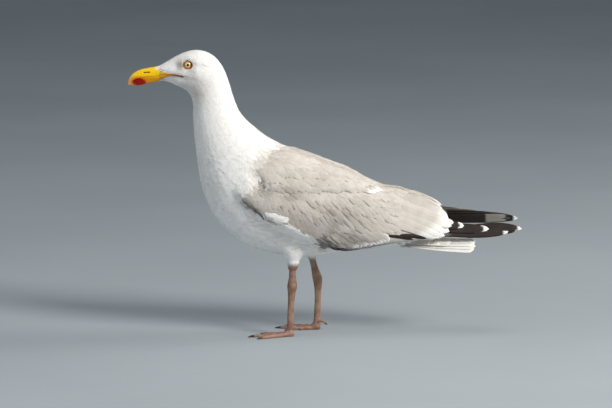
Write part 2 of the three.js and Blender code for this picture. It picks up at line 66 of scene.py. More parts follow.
SIDES = {LEFT: "left", RIGHT: "right"}

# ------------------------------------------------------------------ driving sizes

VOXEL_FORM = 2.2 * MM
VOXEL_SKIN = 2.5 * MM     # under the coat
VOXEL_LEG = 0.68 * MM
NODE_GAP = 0.3 * MM          # between neighbouring solids of the frame
EYE_AT = np.array([-190.2, 11.6, 380.4]) * MM    # Y is the distance from the midline
EYE_RADIUS = 6.8 * MM
LEG_TOP = 103 * MM           # the bare leg starts below this height

FLESH = ["head", "neck", "trunk", "wing_left", "wing_right", "thigh_left", "thigh_right"]
BARE = ["shank_left", "shank_right", "foot_left", "foot_right"]


def mm(*values):
    return np.array(values, dtype=float) * MM


def ramp(value, low, high):
    """0 below low, 1 above high, eased between."""
    t = np.clip((value - low) / (high - low), 0, 1)
    return t * t * (3 - 2 * t)


def grows(value, low, high):
    """0 below low millimetres, 1 above high."""
    return ramp(value, low * MM, high * MM)


def fades(value, low, high):
    """1 below low millimetres, 0 above high."""
    return ramp(-value, -high * MM, -low * MM)


def unit(vectors):
    return vectors / np.maximum(np.linalg.norm(vectors, axis=-1, keepdims=True), 1e-9)


def mirrored(points):
    """Points with Y as the distance from the midline, whichever side they are on."""
    out = np.array(points, dtype=float)
    out[..., 1] = np.abs(out[..., 1])
    return out


# ------------------------------------------------------------------ meshes

def read_vectors(items, key):
    out = np.empty(len(items) * 3)
    items.foreach_get(key, out)
    return out.reshape(-1, 3)


def read_numbers(items, key, each=1):
    out = np.empty(len(items) * each, dtype=np.int64)
    items.foreach_get(key, out)
    return out


def coords(mesh):
    return read_vectors(mesh.vertices, "co")


def set_coords(mesh, points):
    mesh.vertices.foreach_set("co", np.ascontiguousarray(points, dtype=np.float32).ravel())
    mesh.update()


def normals(mesh):
    return read_vectors(mesh.vertex_normals, "vector")


def attribute(mesh, name, values, kind="FLOAT"):
    layer = mesh.attributes.new(name, kind, "POINT")
    key = "vector" if kind == "FLOAT_VECTOR" else "value"
    layer.data.foreach_set(key, np.ascontiguousarray(values, dtype=np.float32).ravel())


def read_attribute(mesh, name, width=1):
    out = np.empty(len(mesh.vertices) * width, dtype=np.float32)
    mesh.attributes[name].data.foreach_get("vector" if width == 3 else "value", out)
    return out.reshape(-1, 3) if width == 3 else out


def place(name, mesh):
    piece = bpy.data.objects.new(name, mesh)
    bpy.context.scene.collection.objects.link(piece)
    return piece


def mesh_from(name, verts, faces, smooth=True):
    mesh = bpy.data.meshes.new(name)
    mesh.from_pydata([tuple(v) for v in verts], [], [tuple(f) for f in faces])
    mesh.validate()
    if smooth:
        mesh.shade_smooth()
    return mesh


def node_copy(names):
    """The frame's solids of these names as one mesh with shared corners."""
    work = bmesh.new()
    for name in names:
        work.from_mesh(frame["nodes"][name].data)
    bmesh.ops.remove_doubles(work, verts=work.verts, dist=1e-6)
    mesh = bpy.data.meshes.new("copy")
    work.to_mesh(mesh)
    work.free()
    return mesh


def evaluated(piece):
    """The piece's mesh with its modifiers applied; the piece itself is removed."""
    graph = bpy.context.evaluated_depsgraph_get()
    mesh = bpy.data.meshes.new_from_object(piece.evaluated_get(graph))
    old = piece.data
    bpy.data.objects.remove(piece)
    bpy.data.meshes.remove(old)
    return mesh


def joined_solid(names, voxel):
    """The solids melted into one closed mesh, their thin gaps closed."""
    mesh = node_copy(names)
    set_coords(mesh, coords(mesh) + normals(mesh) * NODE_GAP)
    piece = place("melt", mesh)
    melt = piece.modifiers.new("melt", "REMESH")
    melt.mode = "VOXEL"
    melt.voxel_size = voxel
    return evaluated(piece)


def linked(mesh):
    """The two ends of every edge, and how many neighbours each vertex has."""
    a, b = read_numbers(mesh.edges, "vertices", 2).reshape(-1, 2).T
    return a, b, np.maximum(np.bincount(np.concatenate([a, b]), minlength=len(mesh.vertices)), 1)


def neighbour_sum(a, b, values):
    return np.bincount(a, values[b], len(values)) + np.bincount(b, values[a], len(values))


def smoothed(mesh, rounds):
    """Smoothing in and out again, so that nothing shrinks."""
    points = coords(mesh)
    a, b, count = linked(mesh)
    for pull in (0.5, -0.51) * rounds:
        total = np.zeros_like(points)
        np.add.at(total, a, points[b])
        np.add.at(total, b, points[a])
        points = points + (total / count[:, None] - points) * pull
    set_coords(mesh, points)


def relaxed(mesh, rounds, where):
    """Plain smoothing of one region, which fills its creases."""
    points = coords(mesh)
    a, b, count = linked(mesh)
    for _ in range(rounds):
        total = np.stack([neighbour_sum(a, b, points[:, axis]) for axis in range(3)], axis=1)
        points = points + (total / count[:, None] - points) * 0.6 * where[:, None]
    set_coords(mesh, points)


def spread(mesh, values, rounds):
    """Values blurred over the mesh."""
    a, b, count = linked(mesh)
    out = np.array(values, dtype=float)
    for _ in range(rounds):
        out = 0.5 * out + 0.5 * neighbour_sum(a, b, out) / count
    return out


def surface_tree(points, mesh):
    return BVHTree.FromPolygons([tuple(v) for v in points], [tuple(p.vertices) for p in mesh.polygons])


# ------------------------------------------------------------------ the form under the feathers

# Pushes (+) and dents (-) that the plumage shows: place, radius and depth in millimetres.
DABS = [
    ((-190.2, 18.5, 380.4), 8.0, -1.9),     # eye socket
    ((-206.0, 14.0, 377.5), 8.0, -1.6),     # lores, in front of the eye
    ((-190.0, 17.0, 389.5), 6.5, 1.0),      # brow
    ((-176.0, 23.0, 369.0), 13.0, 1.3),     # cheek
    ((-203.0, 15.0, 366.0), 6.0, 0.8),      # above the gape
    ((-205.0, 13.0, 357.5), 7.0, 0.8),      # jaw below the gape
    ((-176.0, 24.0, 384.0), 8.0, -0.6),     # behind the eye
    ((-150.0, 60.0, 205.0), 26.0, 1.5),     # breast side
    ((-97.0, 54.0, 229.0), 9.0, -4.0),      # hollow between breast and shoulder
    ((-90.0, 57.0, 218.0), 9.0, -5.0),
    ((-107.0, 57.0, 222.0), 9.0, 2.0),      # breast feathers swelling in front of it
    ((73.0, 8.0, 213.0), 15.0, -3.0),       # step where the scapulars end on the back
    ((55.0, 10.0, 223.0), 16.0, -1.2),
    ((100.0, 8.0, 120.0), 24.0, -2.6),      # under the tail's root
    ((122.0, 10.0, 121.0), 20.0, -5.0),
    ((140.0, 12.0, 123.0), 16.0, -2.0),
]

# The lower border of the scapulars and the upper border of the flank tufts that lie over the
# wing, as heights over X, in millimetres.
SCAPULAR_EDGE = [(-104, 238), (-97, 222), (-86, 211), (-60, 208), (0, 209), (40, 208), (80, 205)]
FLANK_EDGE = [(-125, 150), (-108, 160), (-88, 173), (-72, 176), (-58, 178.5), (-49, 171), (-44, 163),
              (-33, 158), (-24, 149), (-19, 139), (-10, 126), (20, 110)]


def edge_at(edge, value):
    """An edge's second number where its first one has this value, in metres."""
    line = np.array(edge) * MM
    return np.interp(value, line[:, 0], line[:, 1])


def wing_part(points):
    """Masks over the outside of the wings: above the scapulars' edge, and below the flank's."""
    x, z = points[:, 0], points[:, 2]
    ripple = (np.sin(x / (3.1 * MM)) + np.sin(x / (7.3 * MM) + 1.0)) * 0.8 * MM
    scapulars = grows(z - edge_at(SCAPULAR_EDGE, x) - 0.6 * ripple, -1.5, 2.0)
    scapulars = scapulars * fades(x, 74, 86)
    flank = grows(edge_at(FLANK_EDGE, x) + ripple - z, -1.0, 2.5)
    flank = flank * fades(x, 2, 14)
    return scapulars, flank


def sculpted(points, outward, on_wing):
    """Points pushed along their normals into the folds and swellings of the plumage."""
    side = mirrored(points)
    push = np.zeros(len(points))
    for place_mm, radius, depth in DABS:
        away = np.linalg.norm(side - mm(*place_mm), axis=1) / (radius * MM)
        push += depth * MM * np.exp(-away ** 2 * 1.6)
    scapulars, flank = wing_part(points)
    push += on_wing * (1.3 * MM * scapulars + 2.4 * MM * flank)
    back = ramp(points[:, 0], -70 * MM, 0) * ramp(outward[:, 2], 0.1, 0.6)
    push -= 2.0 * MM * (back * grows(points[:, 2], 165, 180))
    return points + outward * push[:, None]


def labels_of(points, names):
    """For each point, the place in names of the nearest of these solids."""
    verts, faces, owner = [], [], []
    for index, name in enumerate(names):
        mesh = frame["nodes"][name].data
        start = len(verts)
        verts += [tuple(v) for v in coords(mesh)]
        faces += [tuple(start + i for i in p.vertices) for p in mesh.polygons]
        owner += [index] * len(mesh.polygons)
    tree = BVHTree.FromPolygons(verts, faces)
    owner = np.array(owner)
    return owner[[tree.find_nearest(Vector(p))[2] for p in points]]


# The lie of the plumage: at each place, with Y as the distance from the midline, the way the
# feathers point.
COMB = [
    ((-228, 5, 372), (0.90, 0, 0.30)), ((-215, 8, 385), (0.85, 0, 0.50)),
    ((-195, 0, 397), (1.00, 0, 0.10)), ((-175, 0, 399), (0.95, 0, -0.30)),
    ((-155, 0, 391), (0.70, 0, -0.70)), ((-143, 0, 375), (0.40, 0, -0.90)),
    ((-135, 0, 355), (0.30, 0, -0.95)), ((-125, 0, 325), (0.45, 0, -0.90)),
    ((-105, 0, 297), (0.75, 0, -0.65)), ((-70, 0, 270), (0.90, 0, -0.40)),
    ((-215, 12, 370), (0.95, 0.10, 0.05)), ((-190, 20, 368), (0.97, 0, -0.20)),
    ((-170, 23, 375), (0.90, 0, -0.40)), ((-222, 3, 357), (0.90, 0, -0.35)),
    ((-200, 5, 347), (0.80, 0, -0.55)), ((-186, 5, 335), (0.30, 0, -0.95)),
    ((-165, 24, 345), (0.35, 0, -0.93)), ((-155, 27, 310), (0.20, 0.05, -0.97)),
    ((-183, 3, 300), (0.00, 0, -1.00)), ((-135, 22, 325), (0.40, 0.05, -0.90)),
    ((-178, 3, 250), (0.10, 0, -1.00)), ((-168, 20, 205), (0.35, 0.05, -0.93)),
    ((-145, 25, 160), (0.75, 0, -0.65)), ((-100, 20, 124), (0.97, 0, -0.20)),
    ((-30, 15, 111), (1.00, 0, 0.00)), ((40, 12, 118), (1.00, 0, 0.05)),
    ((110, 15, 121), (1.00, 0, 0.00)), ((-140, 45, 230), (0.45, 0.10, -0.88)),
    ((-125, 45, 260), (0.60, 0.15, -0.78)), ((-90, 55, 165), (0.85, 0, -0.50)),
    ((-20, 50, 130), (0.95, 0, -0.25)), ((-80, 25, 262), (0.90, 0.10, -0.42)),
    ((-40, 15, 255), (0.93, 0.05, -0.35)), ((-60, 50, 235), (0.85, 0.10, -0.50)),
    ((0, 40, 225), (0.88, 0.05, -0.45)), ((55, 25, 215), (0.92, 0, -0.38)),
    ((-122, 52, 212), (0.50, 0.10, -0.85)), ((-100, 60, 195), (0.55, 0.05, -0.82)),
    ((-60, 66, 185), (0.60, 0, -0.80)), ((-30, 66, 170), (0.66, 0, -0.75)),
    ((10, 62, 160), (0.72, 0, -0.70)), ((50, 55, 160), (0.78, 0, -0.62)),
    ((100, 45, 165), (0.85, -0.05, -0.50)), ((150, 30, 165), (0.92, -0.05, -0.35)),
    ((-20, 60, 145), (0.75, 0, -0.65)), ((40, 52, 130), (0.90, 0, -0.42)),
    ((110, 5, 160), (0.95, 0, -0.30)), ((150, 15, 132), (1.00, 0.10, -0.02)),
    ((-43, 35, 112), (0.15, 0, -1.00)), ((-22, 35, 115), (0.20, 0, -1.00)),
    ((-44, 30, 100), (0.00, 0, -1.00)), ((-18, 30, 104), (0.20, 0, -1.00)),
]


def combed(points, outward):
    """The way the plumage lies at each point, along the surface."""
    side = mirrored(points)
    flow = np.zeros_like(points)
    for place_mm, way in COMB:
        away = np.sum((side - mm(*place_mm)) ** 2, axis=1)
        weight = 1 / (away + (7 * MM) ** 2) ** 2
        flow += weight[:, None] * unit(np.array(way, dtype=float))
    eye = side - EYE_AT
    round_eye = np.exp(-(np.linalg.norm(eye[:, [0, 2]], axis=1) / (11 * MM)) ** 4)
    away = unit(eye * (1, 0, 1.3))
    into = np.minimum(np.sum(unit(flow) * away, axis=1), 0.0)
    flow = unit(flow) - away * (into * round_eye * 1.1)[:, None]
    flow[:, 1] *= np.sign(points[:, 1])
    flow -= outward * np.sum(flow * outward, axis=1, keepdims=True)
    return unit(flow)


# The midline of the body from the bill's base to the tail, for places along it.
SPINE = [(-227, 367), (-212, 370), (-195, 371), (-178, 364), (-166, 350), (-159, 330), (-154, 305),
         (-146, 275), (-130, 245), (-105, 218), (-70, 200), (-25, 184), (25, 170), (70, 155),
         (115, 138), (160, 128), (212, 124)]


def along_and_around(points):
    """An unwrap of the body's own shape: the share of the way down the midline, and the turn
    round it with its seam under the belly."""
    line = np.array([(x, 0, z) for x, z in SPINE]) * MM
    start, step = line[:-1], np.diff(line, axis=0)
    length = np.linalg.norm(step, axis=1)
    passed = np.concatenate([[0], np.cumsum(length)])
    rel = points[:, None, :] - start[None]
    share = np.clip(np.sum(rel * step, axis=2) / length ** 2, 0, 1)
    foot = start[None] + share[..., None] * step[None]
    gap = np.linalg.norm(points[:, None, :] - foot, axis=2)
    best = np.argmin(gap, axis=1)
    rows = np.arange(len(points))
    down = (passed[best] + share[rows, best] * length[best]) / passed[-1]
    away = points - foot[rows, best]
    ahead = unit(step)[best]
    up = unit(np.cross(np.cross(ahead, [0.0, 0.0, 1.0]) + [0, 1e-6, 0], ahead))
    turn = np.arctan2(away[:, 1], np.sum(away * up, axis=1))
    return down, turn / (2 * math.pi) + 0.5


form = joined_solid(FLESH + ["eye_left", "eye_right", "tail", "bill_upper", "bill_lower"], VOXEL_FORM)
smoothed(form, 6)
LABELS = FLESH + ["tail"]
WING_LABELS = [LABELS.index("wing_left"), LABELS.index("wing_right")]
label = labels_of(coords(form), LABELS)
wing_label = np.isin(label, WING_LABELS)
on_wing = spread(form, wing_label.astype(float), 3)
set_coords(form, sculpted(coords(form), normals(form), on_wing))
smoothed(form, 2)
form_x, _, form_z = coords(form).T
by_thigh = fades(np.abs(form_x + 32 * MM), 32, 46)
by_thigh = by_thigh * fades(np.abs(form_z - 118 * MM), 13, 22)
relaxed(form, 45, by_thigh)
flank_side = wing_part(coords(form))[1] * grows(form_z, 120, 128)
relaxed(form, 30, flank_side * grows(form_x, -100, -88))


# ------------------------------------------------------------------ markings, painted shade and regions

def mantle_front(points):
    """How far behind the white nape's edge each point is, along X."""
    y = np.minimum(np.abs(points[:, 1]) / MM, 45)
    return points[:, 0] - (-69.0 - 0.0185 * y ** 2) * MM


# Where the wing's grey begins behind the breast's white feathers, as (z, x).
WING_FRONT = [(200, -132), (208, -129), (216, -121), (221, -112), (226, -108), (235, -108), (246, -106),
              (256, -90), (268, -68)]
# The front of the wing's lower corner, where it comes out from under the flank's feathers.
CORNER_FRONT = [(118, 6), (126, -12), (139, -29), (150, -33)]
# Grey on the face, partly a faint marking and partly painted shade: place, radius and depth.
# In front of the eye: faint grey deepened by painted shade of the hollow there.
FACE_GREY_AND_SHADE = [((-205, 14.5, 381.5), 6.5, 1.10), ((-203, 15, 375), 6, 0.45), ((-200.5, 16, 380), 3.5, 0.60),
           # Below the eye and over the cheek, jaw and throat: painted shade.
           ((-186, 21, 367), 8, 0.30), ((-178, 22, 350), 14, 0.65), ((-196, 10, 352), 9, 0.60),
           ((-174, 20, 338), 12, 0.28)]
# A faint line behind the eye, and painted shade in the fold behind the corner of the mouth:
# middle (x, z), half-lengths, slope and depth.
FACE_LINES = [((-172.5, 381.6), (10, 1.6), -0.13, 0.75), ((-187, 363.0), (12, 1.6), -0.22, 0.55)]
# Painted shade on the grey wing, at its bend, in its hollows and towards its lower front: middle (x, z),
# half-lengths, slope in degrees and depth.
SHADOWED = [((-109, 193), (28, 6), -42, 0.75), ((1, 136), (36, 17), -16, 0.80),
            ((-58, 212), (22, 5), -4, 0.40), ((-95, 227), (16, 9), -57, 0.58),
            ((-40, 172), (70, 26), -28, 0.34), ((18, 168), (54, 24), -8, 0.46),
            ((30, 146), (50, 16), -14, 0.55)]


def shadowed(x, z):
    """How much painted shade darkens the wing's plain grey at places in side view."""
    dark = np.zeros(len(x))
    for (at_x, at_z), (along, across), slope, depth in SHADOWED:
        turn = math.radians(slope)
        dx, dz = x - at_x * MM, z - at_z * MM
        u = (dx * math.cos(turn) + dz * math.sin(turn)) / (along * MM)
        v = (dz * math.cos(turn) - dx * math.sin(turn)) / (across * MM)
        dark = np.maximum(dark, depth * np.exp(-(u ** 2 + v ** 2)))
    return dark


def grey_of(points, outward, on_wing):
    """1 where the plumage is grey, 0 where it is white, and above 1 where painted shade darkens it."""
    x, y, z = points.T
    y = np.abs(y)
    ripple = np.sin(y / (2.3 * MM)) * 1.6 * MM + np.sin(y / (5.1 * MM) + z / (4 * MM)) * 1.5 * MM
    flank = wing_part(points)[1]
    corner = grows(x - edge_at(CORNER_FRONT, z), -3, 3) * ramp(-x, 0, 10 * MM)
    corner = corner * grows(y, 26, 34) * grows(z, 118, 123) * fades(z, 143, 150)
    wing = np.maximum(on_wing * (1 - flank), corner)
    back = grows(mantle_front(points) + ripple, -17, 11)
    back = back * grows(z, 165, 172) * fades(x, 80, 92)
    front = grows(x - edge_at(WING_FRONT, z) + ripple, -6, 7)
    soft = np.maximum(wing * front, back * ramp(outward[:, 2], -0.1, 0.25))
    side = mirrored(points)
    # Faint grey and painted shade on the face.
    lores = 0.0
    for place_mm, radius, depth in FACE_GREY_AND_SHADE:
        lores = lores + depth * np.exp(-(np.linalg.norm(side - mm(*place_mm), axis=1) / (radius * MM)) ** 2)
    line = 0.0
    for (at_x, at_z), (along, across), slope, depth in FACE_LINES:
        dx, dz = x - at_x * MM, z - at_z * MM
        away = np.hypot(dx / along, (dz - slope * dx) / across) / MM
        line = line + depth * np.exp(-away ** 2) * (y > 8 * MM) * (on_wing < 0.5)
    # Above 1: painted shade on the face and on the grey wing.
    return np.clip(np.maximum(soft, lores + line), 0, 1.25) + soft * shadowed(x, z) * (soft > 0.6)


EYE_CLEAR = mm(7.3, 100, 6.0)        # the bare oval round each eye
EYE_THIN = mm(13, 100, 11)           # and the wider one where the coat thins towards it
# The bare wedge at the corner of the mouth: x, upper edge z, mouth line z, lower edge z.
GAPE_STATIONS = [(-232.0, 370.4, 364.2, 358.6), (-228.0, 370.4, 364.9, 359.8), (-223.0, 369.2, 365.5, 362.2),
                 (-217.0, 368.1, 365.9, 364.0), (-210.0, 367.5, 366.2, 364.8), (-204.0, 366.8, 365.7, 364.5),
                 (-199.0, 365.6, 364.7, 363.8), (-196.0, 364.5, 364.0, 363.5)]


# The plumage's front edge over the bill's base, as height and X: a lobe runs forward above the
# gape, and the chin's edge slopes below it.
FEATHER_FRONT = [(350.0, -232.0), (355.5, -231.0), (358.3, -229.7), (361.0, -226.0), (363.0, -221.0),
                 (364.5, -218.0), (369.4, -222.0), (370.6, -227.0), (372.2, -234.0), (374.4, -236.3),
                 (378.5, -231.6)]


def from_eye(points, oval):
    """Distance from the eye in side view, in half sizes of an oval round it."""
    return np.linalg.norm((mirrored(points) - EYE_AT) / oval, axis=1)


def behind_bill(points):
    """How far each point is behind the plumage's front edge, along X."""
    return points[:, 0] - edge_at(FEATHER_FRONT, points[:, 2])


def gape_room(points):
    """How far inside the bare wedge each point is, in side view; negative outside it."""
    line = np.array(GAPE_STATIONS) * MM
    x, z = points[:, 0], points[:, 2]
    top, bottom = np.interp(x, line[:, 0], line[:, 1]), np.interp(x, line[:, 0], line[:, 3])
    return np.minimum(np.minimum(top - z, z - bottom), line[-1, 0] - x)


def bare_face(points):
    """1 on the bare skin round the eye and along the gape."""
    eye_bare = 1 - ramp(from_eye(points, EYE_CLEAR), 0.93, 1.05)
    return np.maximum(eye_bare, grows(gape_room(points), -0.5, -0.2))


def coat_depth(points):
    """How far the skin lies under the tips of the plumage."""
    down = along_and_around(points)[0]
    depth = np.interp(down, [0.0, 0.05, 0.13, 0.25, 0.4, 0.9, 1.0],
                      np.array([0.7, 0.9, 1.3, 2.0, 3.0, 3.0, 2.0]) * MM)
    depth = depth * (0.3 + 0.7 * ramp(from_eye(points, EYE_THIN), 0.4, 1.0))
    thigh = ramp(points[:, 2], LEG_TOP, 114 * MM)
    return depth * np.where(points[:, 2] < 114 * MM, 0.06 + 0.94 * thigh, 1.0)


shape = coords(form)
outward = normals(form)
grey = grey_of(shape, outward, on_wing)
depth = coat_depth(shape)
flow = combed(shape, outward)
label = labels_of(shape, LABELS)
head_part = (label == LABELS.index("head")) & (behind_bill(shape) > 0)
neck_part = label == LABELS.index("neck")
thigh_part = np.isin(label, [LABELS.index("thigh_left"), LABELS.index("thigh_right")])
wing_part_of = {hand: label == LABELS.index("wing_" + SIDES[hand]) for hand in SIDES}
trunk_part = np.isin(label, [LABELS.index("trunk"), LABELS.index("tail")])
above = outward[:, 2] > 0.15
back_part = trunk_part & (shape[:, 2] > 165 * MM) & above & (shape[:, 0] > -125 * MM)
front_part = trunk_part & ~back_part & (shape[:, 0] < -70 * MM)
rear_part = trunk_part & ~back_part & ~front_part
attribute(form, "flow", flow, "FLOAT_VECTOR")
attribute(form, "deep", depth)
# The grey attribute carries the painted shade too, above 1.
attribute(form, "grey", grey)


# ------------------------------------------------------------------ nodes as nested calls

class Nodes:
    """Nodes of one tree, written as nested calls that give their output sockets."""

    def __init__(self, tree):
        self.tree = tree

    def fill(self, socket, value):
        if isinstance(value, bpy.types.NodeSocket):
            self.tree.links.new(value, socket)
        else:
            socket.default_value = value

    def put(self, kind, *values, out=0, **settings):
        """Adds a node. Values go to its sockets in order, or by name in a dictionary."""
        node = self.tree.nodes.new(kind)
        for key, value in settings.items():
            setattr(node, key, value)
        for number, value in enumerate(values):
            for key, given in (value if isinstance(value, dict) else {number: value}).items():
                self.fill(node.inputs[key], given)
        return node.outputs[out]

    def math(self, operation, a, b=0.0, c=0.0):
        return self.put("ShaderNodeMath", a, b, c, operation=operation)

    def times(self, a, b):
        return self.math("MULTIPLY", a, b)

    def plus(self, a, b):
        return self.math("ADD", a, b)

    def less(self, a, b):
        return self.math("SUBTRACT", a, b)

    def vector(self, operation, a, b=(0, 0, 0)):
        return self.put("ShaderNodeVectorMath", a, b, operation=operation)

    def scaled(self, vector, factor):
        return self.put("ShaderNodeVectorMath", vector, {"Scale": factor}, operation="SCALE")

    def length(self, vector):
        return self.put("ShaderNodeVectorMath", vector, operation="LENGTH", out="Value")


class Tree(Nodes):
    """A Geometry Nodes tree with named inputs."""

    def __init__(self, name, sockets):
        super().__init__(bpy.data.node_groups.new(name, "GeometryNodeTree"))
        face = self.tree.interface
        face.new_socket(name="Geometry", in_out="OUTPUT", socket_type="NodeSocketGeometry")
        self.ids = {}
        for label, kind in sockets.items():
            made = face.new_socket(name=label, in_out="INPUT", socket_type="NodeSocket" + kind)
            self.ids[label] = made.identifier
        self.inputs = self.tree.nodes.new("NodeGroupInput").outputs
        self.output = self.tree.nodes.new("NodeGroupOutput").inputs[0]

    def attribute(self, name, kind="FLOAT"):
        return self.put("GeometryNodeInputNamedAttribute", name, data_type=kind)

    def random(self, low, high, seed, step):
        return self.put("FunctionNodeRandomValue", {2: low, 3: high, "Seed": self.plus(seed, step)},
                        out=1, data_type="FLOAT")

    def store(self, geometry, name, value, kind="FLOAT"):
        return self.put("GeometryNodeStoreNamedAttribute",
                        {"Geometry": geometry, "Name": name, "Value": value},
                        data_type=kind, domain="POINT")

    def apply(self, piece, values):
        """Runs the tree on piece and leaves a plain mesh there."""
        modifier = piece.modifiers.new("make", "NODES")
        modifier.node_group = self.tree
        for label, value in values.items():
            modifier[self.ids[label]] = value
        graph = bpy.context.evaluated_depsgraph_get()
        mesh = bpy.data.meshes.new_from_object(piece.evaluated_get(graph))
        piece.modifiers.remove(modifier)
        old = piece.data
        piece.data = mesh
        bpy.data.meshes.remove(old)
        return mesh


def vane_tree():
    """Small feathers planted over a surface, each laid along its flow and wrapped onto it."""
    tree = Tree("lay small feathers", {
        "Geometry": "Geometry", "Vane": "Object", "Spacing": "Float", "Length": "Float",
        "Width": "Float", "Thickness": "Float", "Tip Lift": "Float", "Stray": "Float",
        "Seed": "Int", "Finish": "Material"})
    get = tree.inputs
    seed, spacing = get["Seed"], get["Spacing"]
    crowd = tree.math("DIVIDE", 1.4, tree.times(spacing, spacing))
    scatter = tree.put("GeometryNodeDistributePointsOnFaces",
                       {"Mesh": get["Geometry"], "Distance Min": spacing, "Density Max": crowd,
                        "Density Factor": tree.attribute("cover"), "Seed": seed},
                       distribute_method="POISSON")
    facing = scatter.node.outputs["Normal"]
    turn = tree.put("FunctionNodeAxisAngleToRotation", facing,
                    tree.times(get["Stray"], tree.random(-1.0, 1.0, seed, 1)))
    along = tree.put("FunctionNodeRotateVector", tree.attribute("flow", "FLOAT_VECTOR"), turn)
    side = tree.vector("NORMALIZE", tree.vector("CROSS_PRODUCT", along, facing))
    size = tree.attribute("size")
    reach = tree.times(tree.times(get["Length"], size), tree.random(0.8, 1.2, seed, 2))
    breadth = tree.times(tree.times(get["Width"], size), tree.random(0.8, 1.2, seed, 3))
    points = tree.store(scatter, "root", tree.put("GeometryNodeInputPosition"), "FLOAT_VECTOR")
    points = tree.store(points, "along", tree.vector("NORMALIZE", along), "FLOAT_VECTOR")
    points = tree.store(points, "side", side, "FLOAT_VECTOR")
    points = tree.store(points, "reach", reach)
    points = tree.store(points, "breadth", breadth)
    points = tree.store(points, "stir", tree.random(0.0, 1.0, seed, 4))
    vane = tree.put("GeometryNodeObjectInfo", get["Vane"], out="Geometry")
    planted = tree.put("GeometryNodeInstanceOnPoints", {"Points": points, "Instance": vane})
    loose = tree.put("GeometryNodeRealizeInstances", planted)
    parts = tree.put("ShaderNodeSeparateXYZ", tree.attribute("vane", "FLOAT_VECTOR"))
    across, down, high = (parts.node.outputs[i] for i in range(3))
    half = tree.times(tree.times(across, tree.attribute("breadth")), 0.5)
    ahead = tree.times(down, tree.attribute("reach"))
    flat = tree.vector("ADD", tree.attribute("root", "FLOAT_VECTOR"), tree.vector(
        "ADD", tree.scaled(tree.attribute("along", "FLOAT_VECTOR"), ahead),
        tree.scaled(tree.attribute("side", "FLOAT_VECTOR"), half)))
    here = {"Mesh": get["Geometry"], "Sample Position": flat}
    nearest_spot = tree.put("GeometryNodeSampleNearestSurface",
                            {**here, "Value": tree.put("GeometryNodeInputPosition")},
                            data_type="FLOAT_VECTOR")
    pull = tree.vector("SUBTRACT", nearest_spot, flat)
    far = tree.length(pull)
    held = tree.math("MINIMUM", far, tree.times(tree.attribute("reach"), 0.45))
    touch = tree.vector("ADD", flat, tree.scaled(tree.vector("NORMALIZE", pull), held))
    lie = tree.put("GeometryNodeSampleNearestSurface",
                   {**here, "Value": tree.put("GeometryNodeInputNormal")},
                   data_type="FLOAT_VECTOR")
    rise = tree.put("ShaderNodeMapRange", down, 0.0, 0.32, -1.0, 0.0, interpolation_type="SMOOTHSTEP")
    sunk = tree.times(rise, tree.attribute("deep"))
    lift = tree.times(tree.times(down, down), tree.times(tree.attribute("stir"), get["Tip Lift"]))
    proud = tree.plus(tree.times(high, get["Thickness"]), tree.plus(sunk, lift))
    laid = tree.put("GeometryNodeSetPosition",
                    {"Geometry": loose, "Position": tree.vector("ADD", touch, tree.scaled(lie, proud))})
    laid = tree.store(laid, "lie", lie, "FLOAT_VECTOR")
    laid = tree.store(laid, "down", down)
    done = tree.put("GeometryNodeSetMaterial", {"Geometry": laid, "Material": get["Finish"]})
    tree.fill(tree.output, done)
    return tree


# ------------------------------------------------------------------ material helpers

def group_socket(group, name, kind, way, value=None):
    made = group.interface.new_socket(name=name, in_out=way, socket_type="NodeSocket" + kind)
    if value is not None:
        made.default_value = value


class Shade(Nodes):
    """Shader nodes, in a material or in a shader node group."""

    def ramp(self, value, low, high, to_low=0.0, to_high=1.0):
        return self.put("ShaderNodeMapRange", value, low, high, to_low, to_high,
                        interpolation_type="SMOOTHSTEP")

    def mix(self, share, a, b):
        return self.put("ShaderNodeMix", {0: share, 6: a, 7: b}, out=2, data_type="RGBA")

    def xyz(self):
        """The place in metres, as three values."""
        where = self.put("ShaderNodeTexCoord", out="Object")
        return self.put("ShaderNodeSeparateXYZ", where).node.outputs

    def bump(self, strength, distance, height):
        return self.put("ShaderNodeBump", {"Strength": strength, "Distance": distance, "Height": height})

    def light_left(self, grey, stir):
        """What the painted shade of a hollow, where grey is above 1, leaves of the colour."""
        past = self.math("MAXIMUM", self.less(grey, 1.0), 0.0)
        return self.less(1.0, self.times(past, self.math("MULTIPLY_ADD", stir, 0.9, 0.45)))

    def noise(self, scale, detail, stretch=(1, 1, 1)):
        where = self.put("ShaderNodeTexCoord", out="Object")
        moved = self.put("ShaderNodeMapping", where, {"Scale": stretch})
        return self.put("ShaderNodeTexNoise", {"Vector": moved, "Scale": scale, "Detail": detail},
                        out="Fac")

    def attribute(self, name, out="Fac"):
        return self.put("ShaderNodeAttribute", attribute_name=name, out=out)


def colour(red, green, blue):
    """An sRGB colour, 0 to 255, as linear light with alpha."""
    def linear(v):
        v = v / 255
        return v / 12.92 if v <= 0.04045 else ((v + 0.055) / 1.055) ** 2.4
    return (linear(red), linear(green), linear(blue), 1.0)


def finish(name):
    """A new material with its shader: (material, Shade, Principled BSDF)."""
    material = bpy.data.materials.new(name)
    material.use_nodes = True
    shader = material.node_tree.nodes["Principled BSDF"]
    return material, Shade(material.node_tree), shader


def wire(shade, shader, **sockets):
    names = {"colour": "Base Color", "rough": "Roughness", "normal": "Normal"}
    for key, value in sockets.items():
        shade.fill(shader.inputs[names[key]], value)


